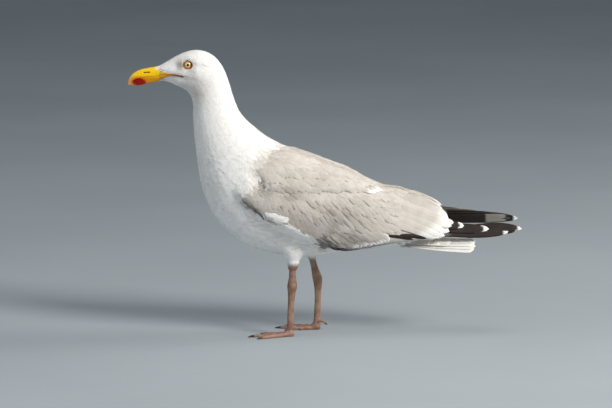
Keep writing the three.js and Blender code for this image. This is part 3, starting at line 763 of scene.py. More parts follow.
def plumage_group():
    """Colour, roughness and height of soft plumage, from how grey it is and its own strands, with painted
    shade where grey is above 1 and towards each small feather's root.
    """
    group = bpy.data.node_groups.new("plumage", "ShaderNodeTree")
    group_socket(group, "Grey", "Float", "INPUT", 0.0)
    group_socket(group, "Stir", "Float", "INPUT", 0.5)
    group_socket(group, "Down", "Float", "INPUT", 0.7)
    for name, kind in (("Colour", "Color"), ("Roughness", "Float"), ("Height", "Float")):
        group_socket(group, name, kind, "OUTPUT")
    shade = Shade(group)
    get = group.nodes.new("NodeGroupInput").outputs
    put = group.nodes.new("NodeGroupOutput").inputs
    cloud = shade.noise(38.0, 4.0)
    strand = shade.noise(900.0, 3.0, stretch=(0.35, 1.0, 0.35))
    white = shade.mix(shade.ramp(cloud, 0.3, 0.7), colour(244, 242, 237), colour(251, 249, 247))
    grey = shade.mix(shade.ramp(cloud, 0.3, 0.7), colour(200, 192, 182), colour(211, 204, 196))
    base = shade.mix(shade.math("MINIMUM", get["Grey"], 1.0), white, grey)
    swing = shade.math("MULTIPLY_ADD", get["Grey"], 0.16, 0.05)
    tone = shade.math("MULTIPLY_ADD", shade.less(get["Stir"], 0.5), swing, 0.985)
    # Painted shade where grey is above 1.
    tone = shade.times(tone, shade.light_left(get["Grey"], get["Stir"]))
    # Painted shade towards each small feather's root, where its neighbours overlap it, and its tip a little
    # lighter.
    tone = shade.times(tone, shade.ramp(get["Down"], 0.35, 0.95, 0.91, 1.02))
    fleck = shade.times(tone, shade.ramp(strand, 0.2, 0.8, 0.965, 1.03))
    shade.fill(put["Colour"], shade.scaled(base, fleck))
    shade.fill(put["Roughness"], shade.ramp(strand, 0.2, 0.8, 0.78, 0.92))
    shade.fill(put["Height"], strand)
    return group


PLUMAGE = plumage_group()


def plumage(shade, *names):
    """The plumage group in a material, fed by the attributes of these names."""
    node = shade.tree.nodes.new("ShaderNodeGroup")
    node.node_tree = PLUMAGE
    for name in names:
        shade.fill(node.inputs[name.capitalize()], shade.attribute(name))
    return node.outputs


def plumage_finish(name, bump):
    material, shade, shader = finish(name)
    soft = plumage(shade, "grey", "stir", "down")
    wire(shade, shader, colour=soft["Colour"], rough=soft["Roughness"],
         normal=shade.bump(bump, 0.0006, soft["Height"]))
    shader.inputs["Specular IOR Level"].default_value = 0.2
    shader.inputs["Sheen Weight"].default_value = 0.15
    shader.inputs["Sheen Roughness"].default_value = 0.5
    return material


# ------------------------------------------------------------------ the coat

# A small feather's outline: share of the length, share of the width.
HAIR_VANE_ROWS = [(0.0, 0.40), (0.42, 0.95), (0.80, 0.80)]
BODY_VANE_ROWS = [(0.0, 0.35), (0.27, 0.82), (0.58, 1.00), (0.82, 0.86), (0.95, 0.52)]
VANE_RIDGE = 1.0
VANE_EDGE = 0.25


def vane_object(name, rows):
    """One small feather as a closed solid. Its corners hold their place on the feather: across
    (-1 to 1), down (0 to 1) and high (0 to 1)."""
    places, faces = [], []
    for down, wide in rows:
        places += [(-wide, down, VANE_EDGE), (0, down, VANE_RIDGE), (wide, down, VANE_EDGE)]
    places.append((0, 1.0, VANE_EDGE))
    tip = len(places) - 1
    for row in range(len(rows) - 1):
        a = 3 * row
        b = a + 3
        faces += [(a, a + 1, b + 1, b), (a + 1, a + 2, b + 2, b + 1), (a + 2, a, b, b + 2)]
    last = 3 * (len(rows) - 1)
    faces += [(last, last + 1, tip), (last + 1, last + 2, tip), (last + 2, last, tip), (0, 2, 1)]
    mesh = mesh_from(name, np.array(places) * MM, faces)
    attribute(mesh, "vane", places, "FLOAT_VECTOR")
    return place(name, mesh)


HAIR_VANE = vane_object("hair_vane", HAIR_VANE_ROWS)
BODY_VANE = vane_object("body_vane", BODY_VANE_ROWS)
VANES = vane_tree()
PATCH = 0.003              # a feather's own patch across, on the unwrap


def corners(mesh):
    """The vertex at each face corner, and how many corners each face has."""
    return read_numbers(mesh.loops, "vertex_index"), read_numbers(mesh.polygons, "loop_total")


def bake_map(mesh, spot):
    layer = mesh.uv_layers.new(name="OFBake")
    layer.data.foreach_set("uv", spot.astype(np.float32).ravel())


def unwrapped(mesh, window):
    """The OFBake map: each feather is a small patch at its root's place on the body's unwrap."""
    root = read_attribute(mesh, "root", 3)
    vane = read_attribute(mesh, "vane", 3)
    first, which = np.unique(root.round(6), axis=0, return_inverse=True)
    down, turn = along_and_around(first)
    low, high = window
    spot = np.stack([turn, (down - low) / (high - low)], axis=1)[which.ravel()]
    inside = np.stack([vane[:, 0] / 2, vane[:, 1] - 0.5], axis=1) * PATCH
    bake_map(mesh, (np.clip(spot, PATCH, 1 - PATCH) + inside)[corners(mesh)[0]])


def softened(mesh, share):
    """Shading normals part way from each feather's own to those of the form it lies on. A face
    that turns away from the form keeps its own."""
    lie = read_attribute(mesh, "lie", 3)
    corner, sides = corners(mesh)
    facing = np.repeat(read_vectors(mesh.polygons, "normal"), sides, axis=0)
    agrees = np.sum(facing * lie[corner], axis=1) > 0.2
    own = np.stack([np.bincount(corner[agrees], facing[agrees, axis], len(lie))
                    for axis in range(3)], axis=1)
    mixed = unit(lie * share + unit(own) * (1 - share))[corner]
    mesh.normals_split_custom_set(np.where(agrees[:, None], mixed, facing).tolist())


def coat(name, part, spacing, length, width, seed, lift=0.5, thick=0.3, stray=0.22, size=None,
         soft=0.75, vane=BODY_VANE):
    """A piece of the coat over one part of the form. Sizes are in millimetres."""
    mesh = form.copy()
    where = coords(mesh)
    cover = spread(mesh, part.astype(float), 1) > 0.05
    attribute(mesh, "cover", cover * (1 - bare_face(where)))
    attribute(mesh, "size", np.ones(len(where)) if size is None else size)
    piece = place(name, mesh)
    wider = 1.0
    made = VANES.apply(piece, {
        "Vane": vane, "Spacing": spacing * wider * MM, "Length": length * wider * MM,
        "Width": width * wider * MM, "Thickness": thick * MM, "Tip Lift": lift * MM,
        "Stray": stray, "Seed": seed, "Finish": COAT_FINISH})
    down = along_and_around(where[part])[0]
    unwrapped(made, (down.min(), down.max()))
    softened(made, soft)
    for spare in ("flow", "deep", "cover", "size", "root", "along", "side", "reach", "breadth",
                  "vane", "lie"):
        layer = made.attributes.get(spare)
        if layer is not None:
            made.attributes.remove(layer)
    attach(piece, "root")


COAT_FINISH = plumage_finish("coat feathers", 0.25)
face = head_part & (shape[:, 0] < -178 * MM)
crown = head_part & ~face
face_size = 0.34 + 0.66 * (ramp(from_eye(shape, EYE_CLEAR), 1.0, 2.0) * ramp(-gape_room(shape), 0, 5 * MM)
                           * (0.4 + 0.6 * ramp(behind_bill(shape), 0, 6 * MM)))
coat("coat_head_face", face, 0.80, 4.4, 1.8, 11, lift=0.10, thick=0.10, vane=HAIR_VANE, size=face_size)
coat("coat_head_crown", crown, 1.15, 6.5, 2.5, 12, lift=0.15, thick=0.14, vane=HAIR_VANE)
coat("coat_neck", neck_part, 1.7, 12, 4.0, 13, lift=0.5, thick=0.25, soft=0.65)
coat("coat_breast", front_part, 2.4, 17, 6.0, 14, lift=0.9, soft=0.62)
under_wing = (outward[:, 2] > 0.1) & (shape[:, 0] > 118 * MM)
thigh_room = spread(form, thigh_part.astype(float), 5) > 0.02
below_tail = (outward[:, 2] < -0.8) & (shape[:, 0] < 150 * MM) & (np.abs(shape[:, 1]) < 13 * MM)
belly_part = rear_part & ((shape[:, 0] < 109 * MM) | below_tail) & ~under_wing
belly_part &= ~(thigh_room & (shape[:, 2] < 122.5 * MM))
belly_size = 1 - 0.64 * grows(shape[:, 0], 78, 110)
coat("coat_belly", belly_part, 2.5, 18, 6.5, 15, lift=0.7, soft=0.62, size=belly_size)
coat("coat_mantle", back_part, 2.4, 20, 6.0, 16, lift=1.0, thick=0.4, soft=0.4)
for hand in SIDES:
    outer = (outward[:, 1] * hand > -0.35) & (shape[:, 0] < 152 * MM)
    coat("coat_wing_" + SIDES[hand], wing_part_of[hand] & outer, 2.35, 21, 5.6, 20 + hand, lift=1.0,
         thick=0.45, stray=0.10, soft=0.35)
thigh_zone = (spread(form, thigh_part.astype(float), 7) > 0.02) & (shape[:, 2] < 129 * MM)
thigh_zone &= shape[:, 2] > np.where(shape[:, 1] > 0, 110, 107) * MM
thigh_size = 0.35 + 0.65 * grows(shape[:, 2], 106, 115)
thigh_size = thigh_size * (0.45 + 0.55 * fades(shape[:, 2], 118, 128))
coat("coat_thighs", thigh_zone, 1.6, 10, 4.0, 17, lift=0.6, thick=0.3, size=thigh_size)
bpy.data.objects.remove(HAIR_VANE)
bpy.data.objects.remove(BODY_VANE)


# ------------------------------------------------------------------ the skin

HEELS = {LEFT: mm(-48.5, -29, 0), RIGHT: mm(-11.3, 29, 0)}    # where each foot's toes part
SCUTE = 2.9 * MM             # one plate down the front of the leg
TOE_SCUTE = 2.5 * MM
JOIN_HEIGHT = 105 * MM       # the leg enters the body's skin here
THIGH_TOP = 119 * MM         # from here up the thigh is tucked inside the body's skin
THIGH_TUCK = 0.5             # by this share of its breadth


def plates(along, pitch, groove=0.24):
    """Raised plates with grooves between them: 0 in a groove, 1 on a plate."""
    turn = np.abs((along / pitch) % 1 - 0.5) * 2
    return 1 - ramp(turn, 1 - groove, 1)


def leg_solid(hand):
    """One leg and foot: plates down its front and over the toes, net skin behind."""
    side = SIDES[hand]
    mesh = joined_solid([part + side for part in ("thigh_", "shank_", "foot_")], VOXEL_LEG)
    smoothed(mesh, 2)
    across, _, height = (coords(mesh) - HEELS[hand]).T
    reach = np.linalg.norm((coords(mesh) - HEELS[hand])[:, :2], axis=1)
    ankle = grows(height, 2.5, 6) * fades(height, 16, 26)
    ankle = ankle * fades(reach, 8, 13) * (1 - grows(across, 3, 6))
    relaxed(mesh, 60, ankle)
    points, facing = coords(mesh), normals(mesh)
    x, y, z = points.T
    reach = np.linalg.norm(points[:, :2] - HEELS[hand][:2], axis=1)
    bend = 0.35 * MM * np.sin(y / (1.3 * MM))
    front = ramp(-facing[:, 0], 0.0, 0.55) * grows(z, 12, 18) * ramp(-z, -LEG_TOP, -88 * MM)
    top = ramp(facing[:, 2], 0.25, 0.6) * grows(z, 2.4, 3.6) * fades(z, 11, 16)
    net = (np.sin(x / (0.62 * MM)) * np.sin(y / (0.58 * MM)) * np.sin(z / (0.66 * MM)))
    push = 0.26 * MM * front * (plates(z + bend, SCUTE) - 0.5)
    push += 0.22 * MM * top * (plates(reach, TOE_SCUTE) - 0.5)
    push += 0.10 * MM * net * (1 - front) * (1 - top) * fades(z, 88, 96)
    fan = np.arctan2(y - HEELS[hand][1], x - HEELS[hand][0])
    web = ramp(facing[:, 2], 0.7, 0.95) * fades(z, 2.2, 3.0) * grows(reach, 12, 20)
    push += 0.16 * MM * web * np.sin(fan * 95 + np.sin(reach / (2.6 * MM)) * 1.2)
    push -= coat_depth(points) + 1.1 * MM * ramp(z, JOIN_HEIGHT, JOIN_HEIGHT + 4 * MM)
    points = points + facing * push[:, None]
    points[:, 2] = np.where(z < 0.6 * MM, z, points[:, 2])
    points[:, 2] = np.maximum(points[:, 2], 0.0)
    middle = points[z > THIGH_TOP, :2].mean(axis=0)
    narrow = 1 - THIGH_TUCK * ramp(z, THIGH_TOP - 9 * MM, THIGH_TOP)
    points[:, :2] = middle + (points[:, :2] - middle) * narrow[:, None]
    set_coords(mesh, points)
    return place("leg", mesh)


def united(piece, others):
    """The piece with the other closed solids added to it, as one closed solid."""
    for other in others:
        join = piece.modifiers.new("join", "BOOLEAN")
        join.operation = "UNION"
        join.solver = "MANIFOLD"
        join.object = other
    mesh = evaluated(piece)
    for other in others:
        spare = other.data
        bpy.data.objects.remove(other)
        bpy.data.meshes.remove(spare)
    return mesh


def build_skin():
    """The whole bird's skin in one closed mesh: feathered body, bare legs and webbed feet."""
    mesh = joined_solid(FLESH, VOXEL_SKIN)
    smoothed(mesh, 6)
    where = coords(mesh)
    facing = normals(mesh)
    wing = spread(mesh, np.isin(labels_of(where, LABELS), WING_LABELS).astype(float), 3)
    sink = coat_depth(where) + 0.9 * MM * ramp(-where[:, 2], -JOIN_HEIGHT, -JOIN_HEIGHT + 3 * MM)
    set_coords(mesh, sculpted(where, facing, wing) - facing * sink[:, None])
    mesh = united(place("body", mesh), [leg_solid(hand) for hand in SIDES])
    mesh.shade_smooth()
    where = coords(mesh)
    facing = normals(mesh)
    wing = np.isin(labels_of(where, LABELS), WING_LABELS).astype(float)
    # The painted shade under the coat as well, above 1.
    attribute(mesh, "grey", grey_of(where, facing, wing) * (where[:, 2] > LEG_TOP))
    attribute(mesh, "stir", np.full(len(where), 0.5))
    attribute(mesh, "bare", ramp(-where[:, 2], -LEG_TOP - 4 * MM, -LEG_TOP + 5 * MM))
    return mesh


def skin_finish():
    """Bare leg skin, and under the coat the plumage's colours, painted shade included."""
    material, shade, shader = finish("skin")
    patch = shade.noise(95.0, 4.0)
    grain = shade.noise(1500.0, 3.0)
    flesh = shade.mix(shade.ramp(patch, 0.35, 0.65), colour(158, 130, 110), colour(132, 100, 80))
    height = shade.xyz()[2]
    pink = shade.mix(shade.ramp(patch, 0.35, 0.65), colour(160, 124, 110), colour(138, 102, 90))
    flesh = shade.mix(shade.ramp(height, 0.030, 0.008, 0.0, 0.85), flesh, pink)
    flesh = shade.mix(shade.ramp(grain, 0.45, 0.8, 0.0, 0.35), flesh, colour(120, 84, 66))
    base = shade.mix(shade.attribute("bare"), plumage(shade, "grey")["Colour"], flesh)
    normal = shade.bump(0.35, 0.0004, grain)
    wire(shade, shader, colour=base, rough=shade.ramp(grain, 0.3, 0.7, 0.42, 0.6), normal=normal)
    shader.inputs["Specular IOR Level"].default_value = 0.35
    return material


def add_piece(name, mesh, material, slot, *replaced):
    """A finished piece that takes the place of these nodes."""
    mesh.materials.clear()
    mesh.materials.append(material)
    piece = place(name, mesh)
    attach(piece, "root")
    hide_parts(*replaced)


add_piece("skin", build_skin(), skin_finish(), "leg_skin", *FLESH, *BARE)


# ------------------------------------------------------------------ claws

def claw_finish():
    """Dark horn with fine growth rings."""
    material, shade, shader = finish("claw horn")
    rings = shade.noise(900.0, 3.0, stretch=(1.0, 0.3, 0.3))
    base = shade.mix(shade.ramp(rings, 0.35, 0.7), colour(34, 28, 26), colour(74, 62, 54))
    normal = shade.bump(0.3, 0.0002, rings)
    wire(shade, shader, colour=base, rough=shade.ramp(rings, 0.3, 0.7, 0.32, 0.5), normal=normal)
    return material


CLAW_FINISH = claw_finish()
VOXEL_CLAW = 0.3 * MM
for hand, side in SIDES.items():
    claw_nodes = ["claw_%s_%s" % (toe, side) for toe in ("inner", "middle", "outer", "hind")]
    claws = joined_solid(claw_nodes, VOXEL_CLAW)
    smoothed(claws, 3)
    claws.shade_smooth()
    add_piece("claws_" + side, claws, CLAW_FINISH, "claw", *claw_nodes)


# ------------------------------------------------------------------ modelled pieces

def eased(stations, count, bunch=1.0):
    """Rows of numbers turned into count rows on a smooth curve through them. Rows crowd towards
    the first one where bunch is over 1."""
    rows = np.array(stations, dtype=float)
    t = np.linspace(0, 1, count) ** bunch * (len(rows) - 1)
    i = np.clip(t.astype(int), 0, len(rows) - 2)
    f = (t - i)[:, None]
    before, a, b = rows[np.maximum(i - 1, 0)], rows[i], rows[i + 1]
    after = rows[np.minimum(i + 2, len(rows) - 1)]
    return 0.5 * (2 * a + (b - before) * f + (2 * before - 5 * a + 4 * b - after) * f ** 2
                  + (3 * a - before - 3 * b + after) * f ** 3)


def tube_mesh(name, rings, closed=False):
    """A closed mesh through rings of points, with a fan over each end unless it runs round."""
    count, around = rings.shape[:2]
    verts = list(rings.reshape(-1, 3))
    faces = []
    for row in range(count if closed else count - 1):
        for k in range(around):
            here, there = row * around, ((row + 1) % count) * around
            faces.append((here + k, here + (k + 1) % around, there + (k + 1) % around, there + k))
    if not closed:
        for row, turn in ((0, -1), (count - 1, 1)):
            verts.append(rings[row].mean(axis=0))
            hub = len(verts) - 1
            ring = [row * around + k for k in range(around)][::turn]
            faces += [(ring[k], ring[(k + 1) % around], hub) for k in range(around)]
    mesh = mesh_from(name, verts, faces)
    work = bmesh.new()
    work.from_mesh(mesh)
    bmesh.ops.recalc_face_normals(work, faces=work.faces)
    work.to_mesh(mesh)
    work.free()
    mesh.shade_smooth()
    return mesh


# ------------------------------------------------------------------ the bill

# From the tip back: top (x, z), bottom (x, z) and half width, in millimetres.
UPPER_BILL = [((-274.4, 352.6), (-273.0, 350.5), 0.7), ((-273.0, 359.2), (-270.6, 353.0), 2.0),
              ((-269.2, 365.0), (-267.4, 356.0), 2.9), ((-263.4, 369.3), (-262.2, 358.6), 3.9),
              ((-256.6, 372.3), (-255.6, 360.6), 4.6), ((-248.2, 374.3), (-247.2, 362.2), 5.3),
              ((-239.0, 375.9), (-237.5, 363.2), 6.1), ((-230.3, 377.3), (-227.3, 364.3), 7.3),
              ((-224.5, 377.0), (-219.5, 365.2), 7.6)]
LOWER_BILL = [((-271.4, 353.2), (-270.8, 350.8), 0.9), ((-265.8, 357.6), (-264.6, 350.2), 2.3),
              ((-259.4, 360.3), (-258.2, 349.9), 3.3), ((-252.5, 362.0), (-251.2, 351.8), 4.1),
              ((-244.0, 363.1), (-243.0, 354.1), 5.0), ((-235.5, 363.8), (-234.2, 355.4), 6.0),
              ((-227.2, 364.5), (-225.4, 356.9), 7.1), ((-221.0, 364.9), (-219.0, 359.0), 7.0)]
NOSTRIL = mm(-252.6, 368.6, -244.8, 369.3)      # the slit's two ends: x, z, x, z
BILL_ROWS = 150
BILL_AROUND = 96


def stretch_of(a, b, points):
    """Distance in side view from points to the line from a to b, and the share along it."""
    step = b - a
    share = np.clip(np.sum((points - a) * step, axis=-1) / np.sum(step ** 2), 0, 1)
    return np.linalg.norm(points - (a + share[..., None] * step), axis=-1), share


def bill_half(name, stations, upper):
    rows = eased([top + bottom + (half,) for top, bottom, half in stations], BILL_ROWS, 1.15) * MM
    turn = np.linspace(0, 2 * math.pi, BILL_AROUND, endpoint=False)
    lateral = np.sign(np.cos(turn)) * np.abs(np.cos(turn)) ** (0.86 if upper else 0.74)
    lift = np.sin(turn)
    if upper:       # widest low down, with a narrow flat underside and a cutting edge
        rise = np.where(lift > 0, 0.15 + 0.85 * np.abs(lift) ** 0.96, 0.15 - 0.17 * np.abs(lift) ** 0.6)
    else:           # widest near the top, with a keel below
        rise = np.where(lift > 0, 0.86 + 0.14 * np.abs(lift) ** 0.6, 0.86 - 0.86 * np.abs(lift) ** 0.98)
        lateral = lateral * np.where(lift < 0, 1 - 0.12 * np.abs(lift), 1)
    top, bottom, half = rows[:, 0:2], rows[:, 2:4], rows[:, 4]
    rings = np.empty((BILL_ROWS, BILL_AROUND, 3))
    spot = bottom[:, None, :] + (top - bottom)[:, None, :] * rise[None, :, None]
    rings[:, :, 0], rings[:, :, 2] = spot[..., 0], spot[..., 1]
    rings[:, :, 1] = half[:, None] * lateral[None, :]
    centre = rings.mean(axis=1, keepdims=True)
    inward = unit(centre - rings)
    flat = rings[:, :, [0, 2]]
    if upper:
        gap, share = stretch_of(NOSTRIL[:2], NOSTRIL[2:], flat)
        side = np.abs(rings[:, :, 1]) > 1.2 * MM
        wide = (0.55 + 0.35 * share) * MM
        dent = 1.5 * MM * (1 - ramp(gap, wide, wide + 0.55 * MM)) * side
        swell = 0.22 * MM * np.exp(-((gap - 1.9 * MM) / (0.8 * MM)) ** 2) * side
        trough, _ = stretch_of(mm(-247, 370.9), mm(-236, 372.6), flat)
        dent += 0.35 * MM * np.exp(-(trough / (1.0 * MM)) ** 2) * side
        edge, _ = stretch_of(mm(-268, 358.2), mm(-236, 365.8), flat)
        dent += 0.16 * MM * np.exp(-(edge / (0.5 * MM)) ** 2)
        # The nostril's slit, which the bill's finish paints dark as the shade inside it.
        slit = (1 - ramp(gap, wide * 0.85, wide + 0.25 * MM)) * side
        rings = rings + inward * (dent - swell)[..., None]
    else:
        seam, _ = stretch_of(mm(-258, 355.0), mm(-236, 359.2), flat)
        rings = rings + inward * (0.18 * MM * np.exp(-(seam / (0.7 * MM)) ** 2))[..., None]
        slit = np.zeros(rings.shape[:2])
    mesh = tube_mesh(name, rings)
    attribute(mesh, "slit", np.concatenate([slit.ravel(), [0, 0]]))
    return mesh


SPOT = mm(-258.8, 355.4)      # the red spot's middle, x and z


def bill_finish():
    """Waxy yellow horn: paler at the tip, a soft red spot and fine growth lines; the lower part darker
    orange, partly its own orange and partly painted shade, and painted shade in the nostril's slit.
    """
    material, shade, shader = finish("bill horn")
    x, _, z = shade.xyz()
    cloud = shade.noise(240.0, 4.0)
    lines = shade.noise(420.0, 3.0, stretch=(1.0, 1.0, 0.15))
    blur = shade.math("MULTIPLY_ADD", cloud, 0.5, -0.25)
    base = shade.mix(shade.ramp(cloud, 0.3, 0.7), colour(252, 200, 8), colour(255, 214, 26))
    # Darker orange towards the bottom: partly the horn's own orange, partly painted shade.
    base = shade.mix(shade.ramp(z, 0.3660, 0.3600, 0.0, 0.8), base, colour(214, 132, 8))
    base = shade.mix(shade.ramp(x, -0.262, -0.2735, 0.0, 0.75), base, colour(232, 196, 120))
    across = shade.math("DIVIDE", shade.less(x, SPOT[0]), 0.0096)
    up = shade.math("DIVIDE", shade.less(z, SPOT[1]), 0.0052)
    round_it = shade.plus(shade.times(across, across), shade.times(up, up))
    reach = shade.plus(round_it, shade.times(blur, 2.2))
    base = shade.mix(shade.ramp(reach, 3.2, 1.0, 0.0, 0.55), base, colour(232, 112, 14))
    base = shade.mix(shade.ramp(reach, 1.5, 0.45), base, colour(150, 4, 2))
    base = shade.mix(shade.ramp(lines, 0.55, 0.8, 0.0, 0.22), base, colour(176, 116, 20))
    # Painted shade inside the nostril's slit.
    base = shade.mix(shade.attribute("slit"), base, colour(58, 34, 14))
    normal = shade.bump(0.25, 0.0003, lines)
    wire(shade, shader, colour=base, rough=shade.ramp(cloud, 0.2, 0.8, 0.30, 0.44), normal=normal)
    shader.inputs["Specular IOR Level"].default_value = 0.28
    return material


BILL_FINISH = bill_finish()
for name, stations, upper in (("bill_upper", UPPER_BILL, True), ("bill_lower", LOWER_BILL, False)):
    add_piece(name + "_horn", bill_half(name + "_horn", stations, upper), BILL_FINISH, "bill", name)


# ------------------------------------------------------------------ eyes, lids and gape

def side_height(points, hand, fallback=0.0):
    """Y of the outside of the form at places in side view (x, z)."""
    out = np.empty(len(points))
    for index, (x, z) in enumerate(points):
        hit = FORM_TREE.ray_cast(Vector((x, hand * 0.3, z)), Vector((0, -hand, 0)))[0]
        out[index] = hit[1] if hit is not None else hand * fallback
    return out


FORM_TREE = surface_tree(shape, form)


def eyeball(hand):
    """A ball with a clear bulge over the iris, its pole facing out."""
    rows, around = ((48, 64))
    tilt = np.linspace(0, math.pi, rows + 1)[1:]
    radius = EYE_RADIUS * (1 + 0.045 * np.exp(-(tilt / 0.62) ** 2))
    turn = np.linspace(0, 2 * math.pi, around, endpoint=False)
    rings = np.empty((rows, around, 3))
    rings[:, :, 0] = (radius * np.sin(tilt))[:, None] * np.cos(turn)
    rings[:, :, 2] = (radius * np.sin(tilt))[:, None] * np.sin(turn)
    rings[:, :, 1] = hand * (radius * np.cos(tilt))[:, None]
    return tube_mesh("eyeball", rings[:-1] + EYE_AT * (1, hand, 1))


def eye_finish():
    """Pale yellow iris with fine spokes, a black pupil and a wet surface."""
    material, shade, shader = finish("wet eye")
    x, _, z = shade.xyz()
    dx, dz = shade.less(x, EYE_AT[0]), shade.less(z, EYE_AT[2])
    flat = shade.put("ShaderNodeCombineXYZ", dx, 0.0, dz)
    away = shade.put("ShaderNodeVectorMath", flat, operation="LENGTH", out="Value")
    spoke = shade.put("ShaderNodeTexNoise", {
        "Vector": shade.put("ShaderNodeVectorMath", flat, operation="NORMALIZE"),
        "Scale": 9.0, "Detail": 4.0}, out="Fac")
    iris = shade.mix(shade.ramp(spoke, 0.35, 0.65), colour(226, 196, 128), colour(244, 224, 168))
    iris = shade.mix(shade.ramp(away, 0.0030, 0.0046, 0.0, 0.75), iris, colour(196, 142, 66))
    base = shade.mix(shade.ramp(away, 0.0046, 0.0051), iris, colour(46, 26, 14))
    base = shade.mix(shade.ramp(away, 0.00195, 0.00172), base, colour(4, 4, 5))
    wire(shade, shader, colour=base, rough=0.25)
    shader.inputs["Coat Weight"].default_value = 1.0
    shader.inputs["Coat Roughness"].default_value = 0.03
    return material


LID_OPEN = mm(5.3, 4.25)       # half width and half height of the opening between the lids
LID_OUT = mm(6.9, 5.25)         # and of the lids' outer edge


def almond(turn, half):
    """An oval with a blunt point fore and aft, in side view."""
    wide, tall = half
    pinch = np.abs(np.cos(turn)) ** 6
    return np.stack([wide * np.cos(turn), tall * np.sin(turn) * (1 - 0.22 * pinch)], axis=-1)


def lids(hand):
    """The bare ring round the eye: a rounded, finely beaded rim."""
    around, section = ((120, 14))
    turn = np.linspace(0, 2 * math.pi, around, endpoint=False)
    inner, outer = almond(turn, LID_OPEN), almond(turn, LID_OUT)
    eye_flat = EYE_AT[[0, 2]]
    reach = np.linalg.norm(inner, axis=1)
    lip_y = np.abs(EYE_AT[1]) + np.sqrt(np.maximum(EYE_RADIUS ** 2 - reach ** 2, 0))
    skin_y = np.abs(side_height(eye_flat + outer, hand)) + 0.1 * MM
    rings = np.empty((around, section, 3))
    swell = np.linspace(0, 2 * math.pi, section, endpoint=False)
    for k, angle in enumerate(swell):
        across = 0.5 - 0.5 * math.cos(angle)       # 0 at the lip, 1 at the outer edge
        bulge = math.sin(angle)
        flat = inner * (1 - across) + outer * across
        bead = 1 + 0.10 * np.sin(turn * 30) * max(bulge, 0)
        height = lip_y * (1 - across) + skin_y * across
        proud = np.where(bulge > 0, 0.85 * bulge * bead, 1.5 * bulge) * MM
        rings[:, k, 0] = eye_flat[0] + flat[:, 0]
        rings[:, k, 2] = eye_flat[1] + flat[:, 1]
        rings[:, k, 1] = hand * (height + proud)
    return tube_mesh("lids", rings, closed=True)


def lid_finish():
    material, shade, shader = finish("orange lids")
    grain = shade.noise(1300.0, 3.0)
    cloud = shade.noise(260.0, 3.0)
    base = shade.mix(shade.ramp(cloud, 0.35, 0.65), colour(190, 108, 30), colour(152, 78, 18))
    base = shade.mix(shade.ramp(grain, 0.55, 0.8, 0.0, 0.5), base, colour(104, 46, 10))
    normal = shade.bump(0.3, 0.0002, grain)
    wire(shade, shader, colour=base, rough=0.45, normal=normal)
    return material


def gape(hand):
    """Bare lips running back from the bill under the eye, with the mouth line between them."""
    rows, across = ((80, 17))
    line = eased(GAPE_STATIONS, rows) * MM
    share = np.linspace(-1, 1, across)
    x = np.repeat(line[:, :1], across, axis=1)
    z = np.where(share > 0, line[:, 2:3] + (line[:, 1:2] - line[:, 2:3]) * share,
                 line[:, 2:3] + (line[:, 2:3] - line[:, 3:4]) * share)
    y = np.abs(side_height(np.stack([x.ravel(), z.ravel()], axis=1), hand)).reshape(rows, across)
    fade = grows(line[:, 0], -233.5, -229)[:, None] * fades(line[:, 0], -201, -194)[:, None]
    lips = 0.55 * np.sqrt(1 - np.abs(share) ** 6) * (0.4 + 0.6 * fade) + 0.1
    lips = lips - 1.0 * np.exp(-(share / 0.16) ** 2) * (0.35 + 0.65 * fade)
    begins = line[:, :1] + 232 * MM - 4.5 * MM * share ** 2
    lips = lips - 1.1 * (1 - grows(begins, -0.5, 4.0))
    front = np.stack([x, hand * (y + lips * MM), z], axis=-1)
    back = np.stack([x, hand * (y - 1.6 * MM), z], axis=-1)[:, ::-1][:, 1:-1]
    return tube_mesh("gape", np.concatenate([front, back], axis=1))


def gape_finish():
    """Yellow at the bill, through orange to dark brown towards the corner, and darker orange lower down,
    partly painted shade.
    """
    material, shade, shader = finish("gape skin")
    x, _, z = shade.xyz()
    cloud = shade.noise(300.0, 3.0)
    # Darker orange towards the bottom, as on the bill: partly its own orange, partly painted shade.
    yellow = shade.mix(shade.ramp(z, 0.3660, 0.3600, 0.0, 0.8), colour(252, 204, 14),
                       colour(214, 132, 8))
    base = shade.mix(shade.ramp(x, -0.2300, -0.2190), yellow, colour(226, 146, 20))
    base = shade.mix(shade.ramp(x, -0.2190, -0.2090), base, colour(164, 104, 30))
    base = shade.mix(shade.ramp(x, -0.2110, -0.2000), base, colour(110, 80, 48))
    base = shade.mix(shade.ramp(cloud, 0.4, 0.8, 0.0, 0.3), base, colour(120, 70, 24))
    wire(shade, shader, colour=base, rough=0.42)
    return material


EYE_FINISH = eye_finish()
LID_FINISH = lid_finish()
GAPE_FINISH = gape_finish()
for hand, side in SIDES.items():
    add_piece("eyeball_" + side, eyeball(hand), EYE_FINISH, "eye", "eye_" + side)
    add_piece("lids_" + side, lids(hand), LID_FINISH, "bill", "head")
    add_piece("gape_" + side, gape(hand), GAPE_FINISH, "bill", "head")


# ------------------------------------------------------------------ large feathers

def plume(axis, side, up, half, thick, camber, across):
    """Rings of one large feather: a thin closed blade, roofed over its shaft."""
    share = np.linspace(-1, 1, across + 1)
    edge = np.sqrt(np.maximum(1 - np.abs(share) ** 5, 0))
    roof = camber * (1 - share ** 2)
    place_across = axis[:, None] + side[:, None] * (share[None, :, None] * half[:, None, None])
    shaft = np.exp(-(share / 0.09) ** 2) * 0.35 * MM
    full = np.minimum(half / (3 * MM), 1)[:, None]
    rise = roof[None] * half[:, None]
    top = rise + (0.5 * thick * (0.25 + 0.75 * edge)[None] + shaft[None]) * full
    low = rise - 0.5 * thick * (0.25 + 0.75 * edge)[None] * full
    over = place_across + up[:, None] * top[..., None]
    under = place_across + up[:, None] * low[..., None]
    return np.concatenate([over, under[:, ::-1][:, 1:-1]], axis=1), share


